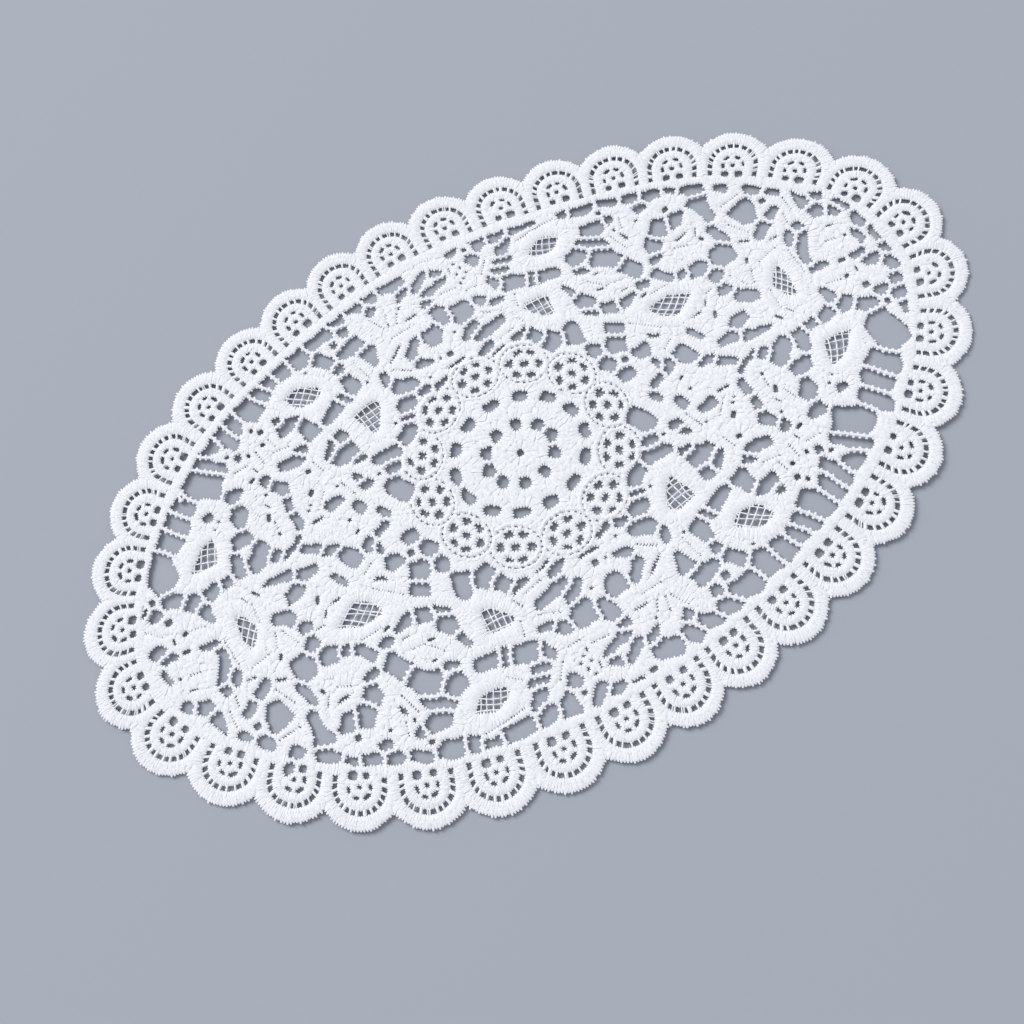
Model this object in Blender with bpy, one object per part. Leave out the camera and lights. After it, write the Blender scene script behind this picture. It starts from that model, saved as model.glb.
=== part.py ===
"""Oval doily of white machine-made lace, lying flat.

The doily is one piece of stitched lace, so it is one solid: a thin plate with a scalloped rim,
the openings of the lace cut through it, and the face it lies on at z = 0. The long axis is X.
Sizes in the tables are millimetres; everything is scaled to metres when the outline is laid.
"""
import math
from collections import namedtuple

import bpy

MM = 0.001
THICKNESS = 1.2  # stitched lace, thread over thread

# rim: scallop tips lie on an oval, evenly spaced round it
HALF_LENGTH = 190.0
HALF_WIDTH = 121.2
SCALLOPS = 36
FIRST_TIP = 0.16  # how far the first tip is past the long axis, in scallops
SCALLOP_DEPTH = 6.6
RIM_STEPS = 6  # straight runs in each scallop

# footing band: the inner edge of the border that carries the scallops
BAND_HALF_LENGTH = 163.8
BAND_HALF_WIDTH = 95.4

# the pattern repeats after half a turn; the second half lies slightly shifted and drawn in places
TURN_SHIFT_X = -5.0
TURN_SHIFT_Y = 2.4
DRIFT_SPREAD = 30.0

LEAST_OPENING = 4.0  # narrower openings stay closed in the solid
LEAST_BAR = 1.7  # lace left between two openings
LEAST_RUN = 0.7  # shortest straight run in an opening's outline
CORNER = 2.5  # 2 is an ellipse, more is boxier

Wave = namedtuple("Wave", "order cosine sine")
Drift = namedtuple("Drift", "x y dx dy")
Gap = namedtuple("Gap", "x y long wide turn taper bow")

# uneven reach of the rim round the oval, as a share of its radius
REACH = (
    Wave(1, -0.0025, -0.0034), Wave(2, -0.0013, 0.0022), Wave(3, 0.011, 0.002),
    Wave(4, 0.008, 0.003), Wave(5, -0.001, 0.0045), Wave(6, 0.003, 0.003), Wave(7, 0.0, -0.003),
    Wave(8, 0.003, 0.0005),
)
# uneven spacing of the scallops, in scallops
CROWDING = (
    Wave(1, 0.013, -0.004), Wave(2, 0.001, 0.163), Wave(3, 0.032, 0.001), Wave(5, 0.003, 0.008),
    Wave(6, -0.013, 0.006), Wave(7, 0.009, -0.004),
)

# where the second half is drawn off its place
DRIFTS = (
    Drift(-145, 30, 3.0, 2.0), Drift(-60, 85, -1.0, 0.0), Drift(48, 90, -1.5, -3.0),
    Drift(90, 75, -1.5, -4.0), Drift(45, 55, -1.5, -0.5), Drift(90, 50, -1.5, -1.0),
    Drift(125, 35, 1.5, 1.0),
)

# Openings of one half, as rounded shapes: centre, length, mean width, direction of the length in
# degrees, taper (over 0 is wider at that end) and bow (sideways swell of the middle).
# between the left-hand flower, its stem and the footing band
LEFT_END = (
    Gap(-158.8, 0.2, 7.5, 3.2, -8, 0, 0), Gap(-143.2, -2.2, 8.8, 3.2, -4, 0, -0.8),
    Gap(-163.2, -5.9, 6.8, 3.4, -72, 0.1, 0), Gap(-142.8, -12.2, 14, 5, 63, -0.1, -1.6),
    Gap(-160.9, -19.8, 5.4, 4.6, -60, -0.2, 0), Gap(-154.5, -23.4, 6.4, 5.8, 0, 0, 0),
    Gap(-152.3, -32.3, 10.2, 4.4, -82, -0.5, 0), Gap(-145, -22.4, 5, 3.6, -75, -0.1, 0),
    Gap(-139.1, -19.6, 6.6, 4.2, 80, 0.3, 0), Gap(-132.1, -28.3, 8.2, 5.4, 35, 0, 0),
    Gap(-140.4, -33.2, 6.8, 5, 25, 0, 0), Gap(-131.5, -40.3, 11.8, 9.8, -80, 0.15, 0),
    Gap(-146.2, -40.8, 6.4, 3.8, -45, -0.1, 0), Gap(-140, -47.8, 8.2, 4.4, -55, 0, 0),
    Gap(-131.1, -55.9, 6.8, 4.6, -45, 0, 0), Gap(-137, -60.2, 5, 4.2, 0, 0, 0),
)

# around the left-hand tulip and the two small flowers below it
LEFT_FIELD = (
    Gap(-120.4, -52.5, 15.5, 8, -90, 0.5, 0), Gap(-118.6, -38.6, 12, 4, -72, 0.05, 0),
    Gap(-115.1, -29.8, 10.6, 9.4, -90, -0.2, 0), Gap(-104.3, -30.5, 7.8, 7.2, 0, 0, 0),
    Gap(-98.4, -32.1, 4.6, 3.4, 10, 0, 0), Gap(-113.6, -8.6, 10, 6.4, -35, -0.05, 0),
    Gap(-107.5, -15.8, 6, 4.4, 0, 0, 0), Gap(-108.3, -23.1, 6.4, 5.2, 20, 0, 0),
    Gap(-105.5, -2, 8.6, 6.2, 5, 0.1, 0), Gap(-87.8, -6, 8.8, 3.4, -60, 0.15, 0),
    Gap(-79.7, -0.8, 9.8, 7.4, -72, -0.05, 0), Gap(-71.3, 0.2, 6.6, 4, 65, 0, 0),
    Gap(-68.2, -3.3, 4.4, 2.8, -70, 0, 0), Gap(-66.2, -11.2, 8, 6.4, 20, 0, 0),
    Gap(-55.8, -5.5, 8.2, 5.8, 5, 0, 0.4), Gap(-51.4, -13.3, 7.4, 6, -50, 0, 0),
    Gap(-59.2, -18.9, 8.6, 7, -25, 0, 0), Gap(-50.1, -21.5, 6.6, 5.8, 60, 0, 0),
    Gap(-62.7, -26.2, 8.6, 5.6, -35, 0, 0), Gap(-66.5, -35.2, 7.4, 6.2, -20, 0, 0),
    Gap(-74.2, -34.2, 9.2, 4.6, 22, 0.45, 0), Gap(-83.2, -36.9, 5.2, 4.2, -20, 0, 0),
    Gap(-91.7, -36.6, 9.8, 4.8, -62, -0.15, 0), Gap(-94.3, -45.2, 6.2, 3.6, 10, 0, 0),
    Gap(-96.6, -52, 8.4, 6.8, -60, 0, 0), Gap(-83.9, -47, 10.6, 8.4, -60, 0.2, 0),
    Gap(-59.9, -43.4, 8.2, 7.4, -45, 0, 0), Gap(-58.8, -36.8, 6.6, 2.8, -38, 0, 0),
    Gap(-47.8, -32.8, 11.6, 7.6, 70, 0.05, 0), Gap(-38.7, -34.2, 9.8, 7.8, 35, 0, 0),
    Gap(-34, -40.5, 8.4, 6.2, -60, 0, 0), Gap(-28.9, -44.1, 9.6, 3.2, 15, 0.1, 0),
    Gap(-13.4, -45.7, 9.4, 3.8, 22, -0.2, 0.4),
)

# around the lower-left flower and along the footing band
LOWER_LEFT = (
    Gap(-110, -56.2, 8.2, 6, 65, 0, 0), Gap(-102.4, -57.9, 9.6, 7.2, 60, 0, 0),
    Gap(-122.2, -63.2, 10.4, 5, -38, 0, 0), Gap(-114.8, -69.4, 4.6, 2.8, -55, 0, 0),
    Gap(-107.8, -72.7, 7.2, 5.2, -20, 0.1, 0), Gap(-101.1, -70.5, 5.6, 4.2, 0, 0, 0),
    Gap(-100.2, -77, 6.2, 5.2, -20, 0, 0), Gap(-91.3, -81, 8.4, 5, -40, 0, 0),
    Gap(-88.2, -73.5, 4.4, 4, 0, 0, 0), Gap(-79.8, -73.3, 10.4, 7.4, -10, 0, 0),
    Gap(-80.6, -84.2, 9.6, 7.8, -25, 0, 0), Gap(-72.5, -86.8, 6.6, 4.4, 75, 0, 0),
    Gap(-66.4, -89.9, 7.2, 3.4, -10, 0, 0), Gap(-76.8, -67.3, 13, 4.2, -32, 0, 0),
    Gap(-67.8, -64.8, 9.8, 7.4, 15, 0, 0), Gap(-77.6, -57.4, 13.6, 9.4, -38, 0.1, 0),
    Gap(-65.8, -56.9, 6.2, 3.2, -25, 0, 0), Gap(-54, -63.1, 11.2, 6.6, -5, 0, 0),
    Gap(-47, -64.8, 7.4, 3.2, 65, 0, 0), Gap(-57, -51.7, 8, 3.2, -70, 0, 0),
    Gap(-55.5, -90.9, 12.2, 7.2, -5, 0, 0),
)

# around the two leaf sprays at the bottom and along the footing band
LOWER_MIDDLE = (
    Gap(-20.6, -53, 16, 5.4, 14, 0, 0), Gap(-11.8, -56.3, 11.5, 4, 32, -0.25, 0),
    Gap(11, -53.4, 8, 4.2, -18, 0.2, 0), Gap(-13.3, -66, 10.4, 9.6, -80, 0, 0),
    Gap(-4.9, -69, 9.6, 6.4, -75, 0.1, 0), Gap(-22.6, -67, 5.8, 5.2, -60, 0, 0),
    Gap(-28.8, -62.8, 6.6, 3.6, -5, 0, 0), Gap(-39.6, -67.4, 11, 8.2, -15, 0, 0),
    Gap(-31.9, -71.4, 7, 4.6, -60, 0, 0), Gap(-37.5, -75.5, 7.2, 3.4, -15, 0, 0),
    Gap(-40.8, -79.1, 8.8, 2.8, -12, 0, 0), Gap(-43.9, -84.8, 9, 4.8, 25, 0, 0),
    Gap(-44.2, -91.6, 8.6, 6.2, 40, 0, 0), Gap(-35, -92.6, 9.4, 6.8, -98, 0.35, 0),
    Gap(-28.9, -85.4, 7, 5.2, -45, 0, 0), Gap(-24, -94.2, 10, 4.8, 48, 0.1, 0),
    Gap(-16.3, -96.2, 7, 4.2, 15, 0, 0), Gap(-9, -81.5, 13, 3.8, 12, 0.1, 0),
    Gap(-2.2, -76.8, 5.6, 3, 5, 0, 0), Gap(-12.6, -87.6, 5.6, 3.4, -25, 0, 0),
    Gap(-4.3, -87.4, 10.4, 3.8, 38, 0, 0), Gap(4.7, -85.7, 8.2, 3.2, 35, 0, 0),
    Gap(6.6, -93.4, 11.8, 8.2, -15, 0, 0.3), Gap(17.2, -93, 8.8, 5.8, -55, 0.1, 0),
    Gap(25.3, -92, 9.2, 5.4, -38, 0, 0), Gap(34, -91.2, 9.2, 5.8, -28, 0.1, 0),
    Gap(43.8, -87.8, 13.2, 8.8, -5, 0.1, 0), Gap(33, -83.8, 4.6, 4, 0, 0, 0),
    Gap(19.2, -85.7, 5.2, 3.6, 60, 0, 0),
)

# between the bow, the medallion and the lower-right tulip
MIDDLE = (
    Gap(22.3, -49, 11.6, 6.8, -15, 0.15, 0), Gap(25.6, -41.4, 9.4, 5.8, 0, 0, 0),
    Gap(17, -42.7, 6.2, 3.4, -5, 0, 0), Gap(8.8, -42.1, 7.8, 3, 22, 0.2, 0),
    Gap(28.2, -36.2, 4.8, 2.4, -10, 0, 0), Gap(31.6, -29.8, 9.2, 6.8, 25, -0.1, 0),
    Gap(42.8, -26.4, 13, 5.4, -5, 0, -0.4), Gap(43.2, -20.7, 6.8, 4.2, 0, 0, 0),
    Gap(45.2, -11.3, 12.6, 8.8, -60, -0.1, 0), Gap(55.4, -19.6, 6.6, 4, 0, 0, -0.4),
    Gap(57.4, -24.9, 4.8, 3, -50, 0, 0), Gap(55, -6.8, 6.4, 3.6, -55, 0, 0),
    Gap(62.3, -13.3, 7, 5.2, -70, 0.1, 0), Gap(52.9, -30.7, 5.4, 2.6, 0, 0, 0),
    Gap(57.1, -35.6, 12.2, 6.4, 20, -0.1, 0), Gap(54.8, -43.7, 6, 5.2, -60, 0, 0),
    Gap(61.7, -41.1, 8, 3.4, 45, 0.1, 0), Gap(53.2, -54.2, 11.2, 5.8, 25, -0.1, 0),
    Gap(46.2, -57.4, 6.6, 2.4, -50, 0, 0), Gap(40.8, -61.4, 9.6, 6.8, -80, -0.2, 0),
    Gap(28.3, -55.9, 7, 4, 80, -0.1, 0), Gap(28.3, -68, 9.8, 6.8, -92, 0.4, 0),
    Gap(33.4, -75.8, 12.2, 6.2, 8, -0.1, 0), Gap(45.9, -76.4, 8.8, 6.4, -50, 0, 0),
    Gap(41.9, -70, 4.6, 4, 0, 0, 0), Gap(12.3, -61.8, 10.4, 5, 48, 0.1, 0),
    Gap(2.4, -62, 9.6, 8.2, -90, 0.1, 0),
)

# the long bars to the footing band and the flower above them
LOWER_RIGHT = (
    Gap(54.5, -84.1, 11.6, 8.6, -72, 0, 0), Gap(63, -83.2, 11.4, 6.8, -72, 0, 0),
    Gap(70.2, -81.1, 8.6, 4.8, -55, 0, 0), Gap(75.8, -78.6, 12.4, 5, -48, 0, 0),
    Gap(82.7, -74.4, 14.6, 9.6, -58, 0.05, 0), Gap(91.3, -72.5, 13, 5.4, -74, 0.05, 0),
    Gap(96.4, -68.1, 15.6, 5.2, -67, 0, 0), Gap(104.6, -68.2, 9.8, 6.2, -10, -0.3, 0),
    Gap(107.7, -61.1, 18, 4.8, -40, 0, 0), Gap(113, -54.6, 16.4, 13, -38, 0, 0),
    Gap(125.5, -52.2, 14.8, 6.8, -58, 0, 0), Gap(130.6, -45.6, 14.8, 6.2, -52, 0, 0),
    Gap(137.6, -40.6, 15.6, 7.8, -50, 0, 0), Gap(74.8, -63.7, 3.8, 3.2, 0, 0, 0),
    Gap(95.6, -57, 3.6, 3.4, 0, 0, 0), Gap(78, -44.1, 11.2, 5.8, -8, 0, 0),
    Gap(71.4, -47.1, 5.2, 3.2, -35, 0, 0), Gap(64.8, -53, 10.2, 6.8, -75, -0.15, 0),
    Gap(71.6, -58.8, 11.8, 4.8, 20, 0.15, 0),
)

# around the leaf pair and the right-hand stems
RIGHT_FIELD = (
    Gap(58.9, -1.1, 6.8, 3.8, 10, 0, 0.4), Gap(70.3, -19.7, 9, 5.2, 10, 0.1, -0.5),
    Gap(86, -37, 7.6, 5.6, -40, 0, 0), Gap(86.5, -29.2, 5.8, 3.8, 80, 0, 0),
    Gap(86.3, -21, 7.2, 4.4, -80, 0.1, 0), Gap(80.1, -3.9, 7.6, 3.4, 10, 0, 0),
    Gap(86.6, -8.1, 8.4, 4.4, -20, 0, 0), Gap(92.2, -0.6, 10.2, 5, -5, 0.1, 0),
    Gap(103.8, -4, 14.2, 4, -6, -0.25, 0), Gap(100.6, -12.9, 6, 3.6, 35, 0, 0),
    Gap(106.9, -15.8, 13.2, 7.8, 42, 0.1, 0), Gap(116.2, -16.5, 10.6, 5.8, -95, -0.25, 0),
    Gap(123, -12.5, 5.2, 4.6, 0, 0, 0), Gap(130.2, -12.4, 7.6, 6, 28, 0.1, 0),
    Gap(139.5, -12.2, 8.6, 5.6, 22, 0, 0), Gap(109.9, -25.3, 9.4, 6.2, 0, 0, -0.4),
    Gap(106.1, -35, 9, 7.6, 45, 0, 0), Gap(103.8, -44, 8.8, 5.2, 18, 0.1, 0),
    Gap(117.6, -40.9, 5.2, 4.8, 0, 0, 0), Gap(90.6, -43, 5.8, 4.2, 40, 0, 0),
    Gap(92.8, -12.6, 11, 2.2, 30, 0, 0),
)

# between the right-hand flower and the footing band
RIGHT_END = (
    Gap(146.1, -30.3, 17.4, 14.6, -82, 0, 0), Gap(145.9, -16.4, 9.2, 6, -22, 0, 0.2),
    Gap(154.5, -14.4, 5.4, 4.8, 0, 0, 0), Gap(162, -13.7, 5.2, 4.6, 0, 0, 0),
    Gap(159.5, -19.3, 5.8, 5, 0, 0, 0), Gap(164.5, -6.9, 7, 5.2, -65, 0, 0),
    Gap(158.8, -1.7, 7.4, 5, 0, 0, 0), Gap(166.3, 0.1, 5.2, 2.8, -80, 0, 0),
    Gap(135.4, -4.6, 8.6, 4.4, -70, 0.35, 0), Gap(157.5, -26, 5.6, 3, 75, 0, 0),
)

# medallion in the middle: rings of openings between its petals and round its centre
Ring = namedtuple("Ring", "count half_length half_width start along across")
MEDALLION_X = -2.3
MEDALLION_Y = 1.5
MEDALLION_RINGS = (
    Ring(14, 27.0, 23.4, 0.5, 7.4, 5.0),
    Ring(10, 14.4, 12.0, 0.0, 5.0, 5.6),
)

LACE_WHITE = (0.83, 0.84, 0.87, 1.0)
LACE_ROUGHNESS = 0.9


def wave_sum(waves, share):
    """Sum of the waves at a share of the way round."""
    angle = math.tau * share
    return sum(w.cosine * math.cos(w.order * angle) + w.sine * math.sin(w.order * angle) for w in waves)


def way_round(steps=1440):
    """(share of the way round, angle) pairs along the rim's oval."""
    angles = [math.tau * i / steps for i in range(steps + 1)]
    points = [(HALF_LENGTH * math.cos(a), HALF_WIDTH * math.sin(a)) for a in angles]
    lengths = [0.0]
    for p, q in zip(points, points[1:]):
        lengths.append(lengths[-1] + math.dist(p, q))
    return [(length / lengths[-1], angle) for length, angle in zip(lengths, angles)]


WAY = way_round()


def angle_at(share):
    """The oval's angle at a share of the way round."""
    share %= 1.0
    low, high = 0, len(WAY) - 1
    while high - low > 1:
        middle = (low + high) // 2
        if WAY[middle][0] > share:
            high = middle
        else:
            low = middle
    (s0, a0), (s1, a1) = WAY[low], WAY[high]
    return a0 + (a1 - a0) * (share - s0) / (s1 - s0)


def share_at(x, y):
    """The share of the way round at which a point lies."""
    angle = math.atan2(y / HALF_WIDTH, x / HALF_LENGTH) % math.tau
    place = angle / math.tau * (len(WAY) - 1)
    low = min(int(place), len(WAY) - 2)
    return WAY[low][0] + (WAY[low + 1][0] - WAY[low][0]) * (place - low)


def rim_point(share, inset):
    """A point of the rim's oval, moved in along its normal."""
    angle = angle_at(share)
    reach = 1.0 + wave_sum(REACH, share)
    nx, ny = math.cos(angle) / HALF_LENGTH, math.sin(angle) / HALF_WIDTH
    size = math.hypot(nx, ny)
    x, y = HALF_LENGTH * math.cos(angle) * reach, HALF_WIDTH * math.sin(angle) * reach
    return x - inset * nx / size, y - inset * ny / size


def rim_loop():
    """The scalloped rim."""
    loop = []
    for scallop in range(SCALLOPS):
        for step in range(RIM_STEPS):
            across = 2.0 * step / RIM_STEPS - 1.0
            place = scallop + FIRST_TIP + across / 2.0
            share = (place + wave_sum(CROWDING, place / SCALLOPS)) / SCALLOPS
            loop.append(rim_point(share, SCALLOP_DEPTH * abs(across) ** 2.05))
    return loop


def gap_loop(gap):
    """The outline of one opening, with more corners on a larger one."""
    round_length = math.pi * (gap.long + gap.wide) / 2.0
    corners = 8 if round_length < 29.0 else 10
    cosine, sine = math.cos(math.radians(gap.turn)), math.sin(math.radians(gap.turn))
    loop = []
    for i in range(corners):
        t = math.tau * (i + 0.5) / corners
        u = math.copysign(abs(math.cos(t)) ** (2.0 / CORNER), math.cos(t))
        v = math.copysign(abs(math.sin(t)) ** (2.0 / CORNER), math.sin(t))
        along = gap.long / 2.0 * u
        across = gap.wide / 2.0 * v * (1.0 + gap.taper * u) + gap.bow * (1.0 - u * u)
        loop.append((gap.x + cosine * along - sine * across, gap.y + sine * along + cosine * across))
    return loop


def half_turned(x, y):
    """Where a point of the first half comes to lie in the second half."""
    px, py = TURN_SHIFT_X - x, TURN_SHIFT_Y - y
    for drift in DRIFTS:
        pull = math.exp(-((px - drift.x) ** 2 + (py - drift.y) ** 2) / DRIFT_SPREAD ** 2)
        px, py = px + pull * drift.dx, py + pull * drift.dy
    return px, py


def within_band(x, y):
    """The point, brought in to the footing band's inner edge if it lies beyond it."""
    reach = 1.0 + wave_sum(REACH, share_at(x, y))
    far = math.hypot(x / BAND_HALF_LENGTH, y / BAND_HALF_WIDTH) / reach
    return (x / far, y / far) if far > 1.0 else (x, y)


def medallion_loops():
    """The openings inside the medallion."""
    loops = []
    for ring in MEDALLION_RINGS:
        for i in range(ring.count):
            angle = math.tau * (i + ring.start) / ring.count
            x = MEDALLION_X + ring.half_length * math.cos(angle)
            y = MEDALLION_Y + ring.half_width * math.sin(angle)
            turn = math.degrees(math.atan2(ring.half_width * math.cos(angle), -ring.half_length * math.sin(angle)))
            loops.append(gap_loop(Gap(x, y, ring.along, ring.across, turn, 0.0, 0.0)))
    return loops


def lace_loops():
    """The openings of both halves and of the medallion that are cut through the solid."""
    loops = medallion_loops()
    for table in (LEFT_END, LEFT_FIELD, LOWER_LEFT, LOWER_MIDDLE, MIDDLE, LOWER_RIGHT, RIGHT_FIELD, RIGHT_END):
        for gap in table:
            if gap.wide < LEAST_OPENING:
                continue
            first = gap_loop(gap)
            second = [half_turned(x, y) for x, y in first]
            loops.append(first)
            loops.append([within_band(x, y) for x, y in second])
    return loops


def centre_of(loop):
    """Mean of a loop's points."""
    return sum(p[0] for p in loop) / len(loop), sum(p[1] for p in loop) / len(loop)


def area_of(loop):
    """Area inside a loop."""
    return abs(sum(p[0] * q[1] - q[0] * p[1] for p, q in zip(loop, loop[1:] + loop[:1]))) / 2.0


def run_distance(p, a, b):
    """Distance from a point to a straight run."""
    dx, dy = b[0] - a[0], b[1] - a[1]
    t = ((p[0] - a[0]) * dx + (p[1] - a[1]) * dy) / max(dx * dx + dy * dy, 1e-9)
    t = min(1.0, max(0.0, t))
    return math.hypot(p[0] - a[0] - t * dx, p[1] - a[1] - t * dy)


def is_inside(p, loop):
    """Whether a point lies inside a loop."""
    inside = False
    for a, b in zip(loop, loop[1:] + loop[:1]):
        if (a[1] > p[1]) != (b[1] > p[1]) and p[0] < a[0] + (b[0] - a[0]) * (p[1] - a[1]) / (b[1] - a[1]):
            inside = not inside
    return inside


def spaced(loop):
    """The loop without the corners that crowd the one before them."""
    kept = []
    for p in loop:
        if not kept or math.dist(kept[-1], p) > LEAST_RUN:
            kept.append(p)
    return kept if math.dist(kept[0], kept[-1]) > LEAST_RUN else kept[:-1]


def parted(loops):
    """The loops, drawn in where they come nearer to each other than a bar's width."""
    centres = [centre_of(loop) for loop in loops]
    sizes = [max(math.dist(c, p) for p in loop) for c, loop in zip(centres, loops)]
    near = [
        [j for j in range(len(loops)) if j != i and math.dist(centres[i], centres[j]) < sizes[i] + sizes[j] + LEAST_BAR]
        for i in range(len(loops))
    ]
    for _ in range(40):
        moved = False
        for i, loop in enumerate(loops):
            for n, p in enumerate(loop):
                for j in near[i]:
                    other = loops[j]
                    gap = min(run_distance(p, a, b) for a, b in zip(other, other[1:] + other[:1]))
                    if gap < LEAST_BAR or is_inside(p, other):
                        cx, cy = centres[i]
                        loop[n] = p = (p[0] + 0.05 * (cx - p[0]), p[1] + 0.05 * (cy - p[1]))
                        moved = True
        if not moved:
            break
    return [spaced(loop) for loop in loops if area_of(loop) > 9.0]


def lace_material():
    """White cotton thread."""
    material = bpy.data.materials.new("white_lace")
    material.use_nodes = True
    shader = material.node_tree.nodes["Principled BSDF"]
    shader.inputs["Base Color"].default_value = LACE_WHITE
    shader.inputs["Roughness"].default_value = LACE_ROUGHNESS
    shader.inputs["Metallic"].default_value = 0.0
    return material


def lay_loop(curve, loop, shift_x, shift_y):
    """Adds one closed straight-run outline to the flat curve."""
    spline = curve.splines.new("POLY")
    spline.points.add(len(loop) - 1)
    for point, (x, y) in zip(spline.points, loop):
        point.co = ((x - shift_x) * MM, (y - shift_y) * MM, 0.0, 1.0)
    spline.use_cyclic_u = True


def make_doily(collection):
    """The lace plate, with the middle of its box at the origin and its underside at z = 0."""
    rim = rim_loop()
    shift_x = (min(p[0] for p in rim) + max(p[0] for p in rim)) / 2.0
    shift_y = (min(p[1] for p in rim) + max(p[1] for p in rim)) / 2.0
    curve = bpy.data.curves.new("lace_doily", "CURVE")
    curve.dimensions = "2D"
    curve.fill_mode = "BOTH"
    curve.extrude = THICKNESS / 2.0 * MM
    lay_loop(curve, rim, shift_x, shift_y)
    for loop in parted(lace_loops()):
        lay_loop(curve, loop, shift_x, shift_y)
    curve.materials.append(lace_material())
    doily = bpy.data.objects.new("lace_doily", curve)
    doily.location.z = THICKNESS / 2.0 * MM
    collection.objects.link(doily)
    return doily


def main():
    """Clears the scene and makes the doily."""
    for obj in list(bpy.data.objects):
        bpy.data.objects.remove(obj, do_unlink=True)
    collection = bpy.data.collections.new("lace_oval_doily")
    bpy.context.scene.collection.children.link(collection)
    make_doily(collection)


main()
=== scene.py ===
"""Looks of an oval lace doily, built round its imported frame.

The lace is made the way an embroidery machine makes it: a thin ground, satin stitches laid square to
every edge of it, threads across the ladders of the scalloped border, small nets in the leaves and
tulips, and raised bands round the nets, round the medallion's petals and between border and field.
Plan sizes are millimetres; meshes are metres.
"""

import logging
import math
from dataclasses import dataclass, field
from enum import Enum
from typing import NamedTuple

import bmesh
import bpy
import numpy as np
from mathutils import Matrix, Vector
from mathutils.kdtree import KDTree


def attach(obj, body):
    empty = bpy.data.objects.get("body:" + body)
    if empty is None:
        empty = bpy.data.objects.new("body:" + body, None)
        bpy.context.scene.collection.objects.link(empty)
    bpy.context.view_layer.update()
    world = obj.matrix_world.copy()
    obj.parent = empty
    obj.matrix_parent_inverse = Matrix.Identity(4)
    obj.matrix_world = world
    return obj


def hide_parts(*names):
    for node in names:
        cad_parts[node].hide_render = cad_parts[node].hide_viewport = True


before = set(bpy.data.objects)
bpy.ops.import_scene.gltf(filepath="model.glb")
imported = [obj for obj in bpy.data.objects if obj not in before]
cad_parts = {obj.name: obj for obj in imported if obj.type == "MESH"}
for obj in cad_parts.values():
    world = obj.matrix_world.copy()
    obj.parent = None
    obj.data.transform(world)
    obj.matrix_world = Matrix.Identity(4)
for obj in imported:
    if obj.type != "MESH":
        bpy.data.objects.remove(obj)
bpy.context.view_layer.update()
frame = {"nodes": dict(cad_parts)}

LOG = logging.getLogger("doily")
MM = 0.001
SEED = 31
CORNERS = 28
FEW_CORNERS = 14
LEAST_CORNERS = 12
UNEVEN_HAND = 0.045
HAND_WAVES = (2, 3, 5)
HAND_PHASE = (2.7, 1.9)
STEADY_SIZE = 8.0
MEAN_LIFT = 0.6
SWELL_LIFT = 0.3
SLANT_LIFT = 0.2

DOILY_NODE = "lace_doily"
BODY = "root"
UV_NAME = "threads"


class Wave(NamedTuple):
    """One wave of an uneven rim: its order and its cosine and sine parts."""

    order: int
    cosine: float
    sine: float


class Drift(NamedTuple):
    """A place of the second half that is drawn off by (dx, dy)."""

    x: float
    y: float
    dx: float
    dy: float


class BandShift(NamedTuple):
    """A share of the way round about which the footing band lies farther in, and how far that reaches."""

    share: float
    inwards: float
    spread: float


class Hole(NamedTuple):
    """A hole of a rosette or petal: its direction from the eye, how far off it lies, and its size."""

    way: float
    reach: float
    long: float
    wide: float


class Ring(NamedTuple):
    """A ring of places round the medallion: how many, its half sizes, and how many places it is turned."""

    count: int
    half_length: float
    half_width: float
    start: float


class Place(NamedTuple):
    """A place in plan, and a direction in degrees."""

    x: float
    y: float
    turn: float


class Opening(NamedTuple):
    """A rounded opening: centre, length, mean width, direction in degrees, and how its sides run."""

    x: float
    y: float
    long: float
    wide: float
    turn: float
    taper: float = 0.0
    bow: float = 0.0
    pinch: float = 0.0
    skew: float = 0.0
    corner: float = 3.4


class FootHole(NamedTuple):
    """A hole at the foot of a rosette: how far to its side, how far inwards, and its size."""

    across: float
    inward: float
    long: float
    wide: float


class NetWindow(NamedTuple):
    """A window, and the directions in degrees of the two sets of threads in its net."""

    opening: Opening
    way: float
    cross: float


def openings(*rows: tuple[float, ...]) -> tuple[Opening, ...]:
    """The openings of a table, one for each row of numbers."""
    return tuple(Opening(*row) for row in rows)


REACH = (
    Wave(1, -0.0025, -0.0034), Wave(2, -0.0013, 0.0022), Wave(3, 0.011, 0.002),
    Wave(4, 0.008, 0.003), Wave(5, -0.001, 0.0045), Wave(6, 0.003, 0.003), Wave(7, 0.0, -0.003),
    Wave(8, 0.003, 0.0005),
)
CROWDING = (
    Wave(1, 0.013, -0.004), Wave(2, 0.001, 0.163), Wave(3, 0.032, 0.001), Wave(5, 0.003, 0.008),
    Wave(6, -0.013, 0.006), Wave(7, 0.009, -0.004),
)
DRIFTS = (
    Drift(-150, 22, 2.6, 1.5), Drift(-60, 85, -1.0, 0.0), Drift(48, 90, -1.5, -3.0),
    Drift(90, 75, -1.5, -4.0), Drift(45, 55, -1.5, -0.5), Drift(90, 50, -1.5, -1.0),
    Drift(125, 35, 1.5, 1.0), Drift(154, 24, 2.6, 2.0),
)
BAND_SHIFTS = (BandShift(0.0, 2.0, 0.035), BandShift(0.62, -1.7, 0.03), BandShift(0.735, -0.8, 0.05))

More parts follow.
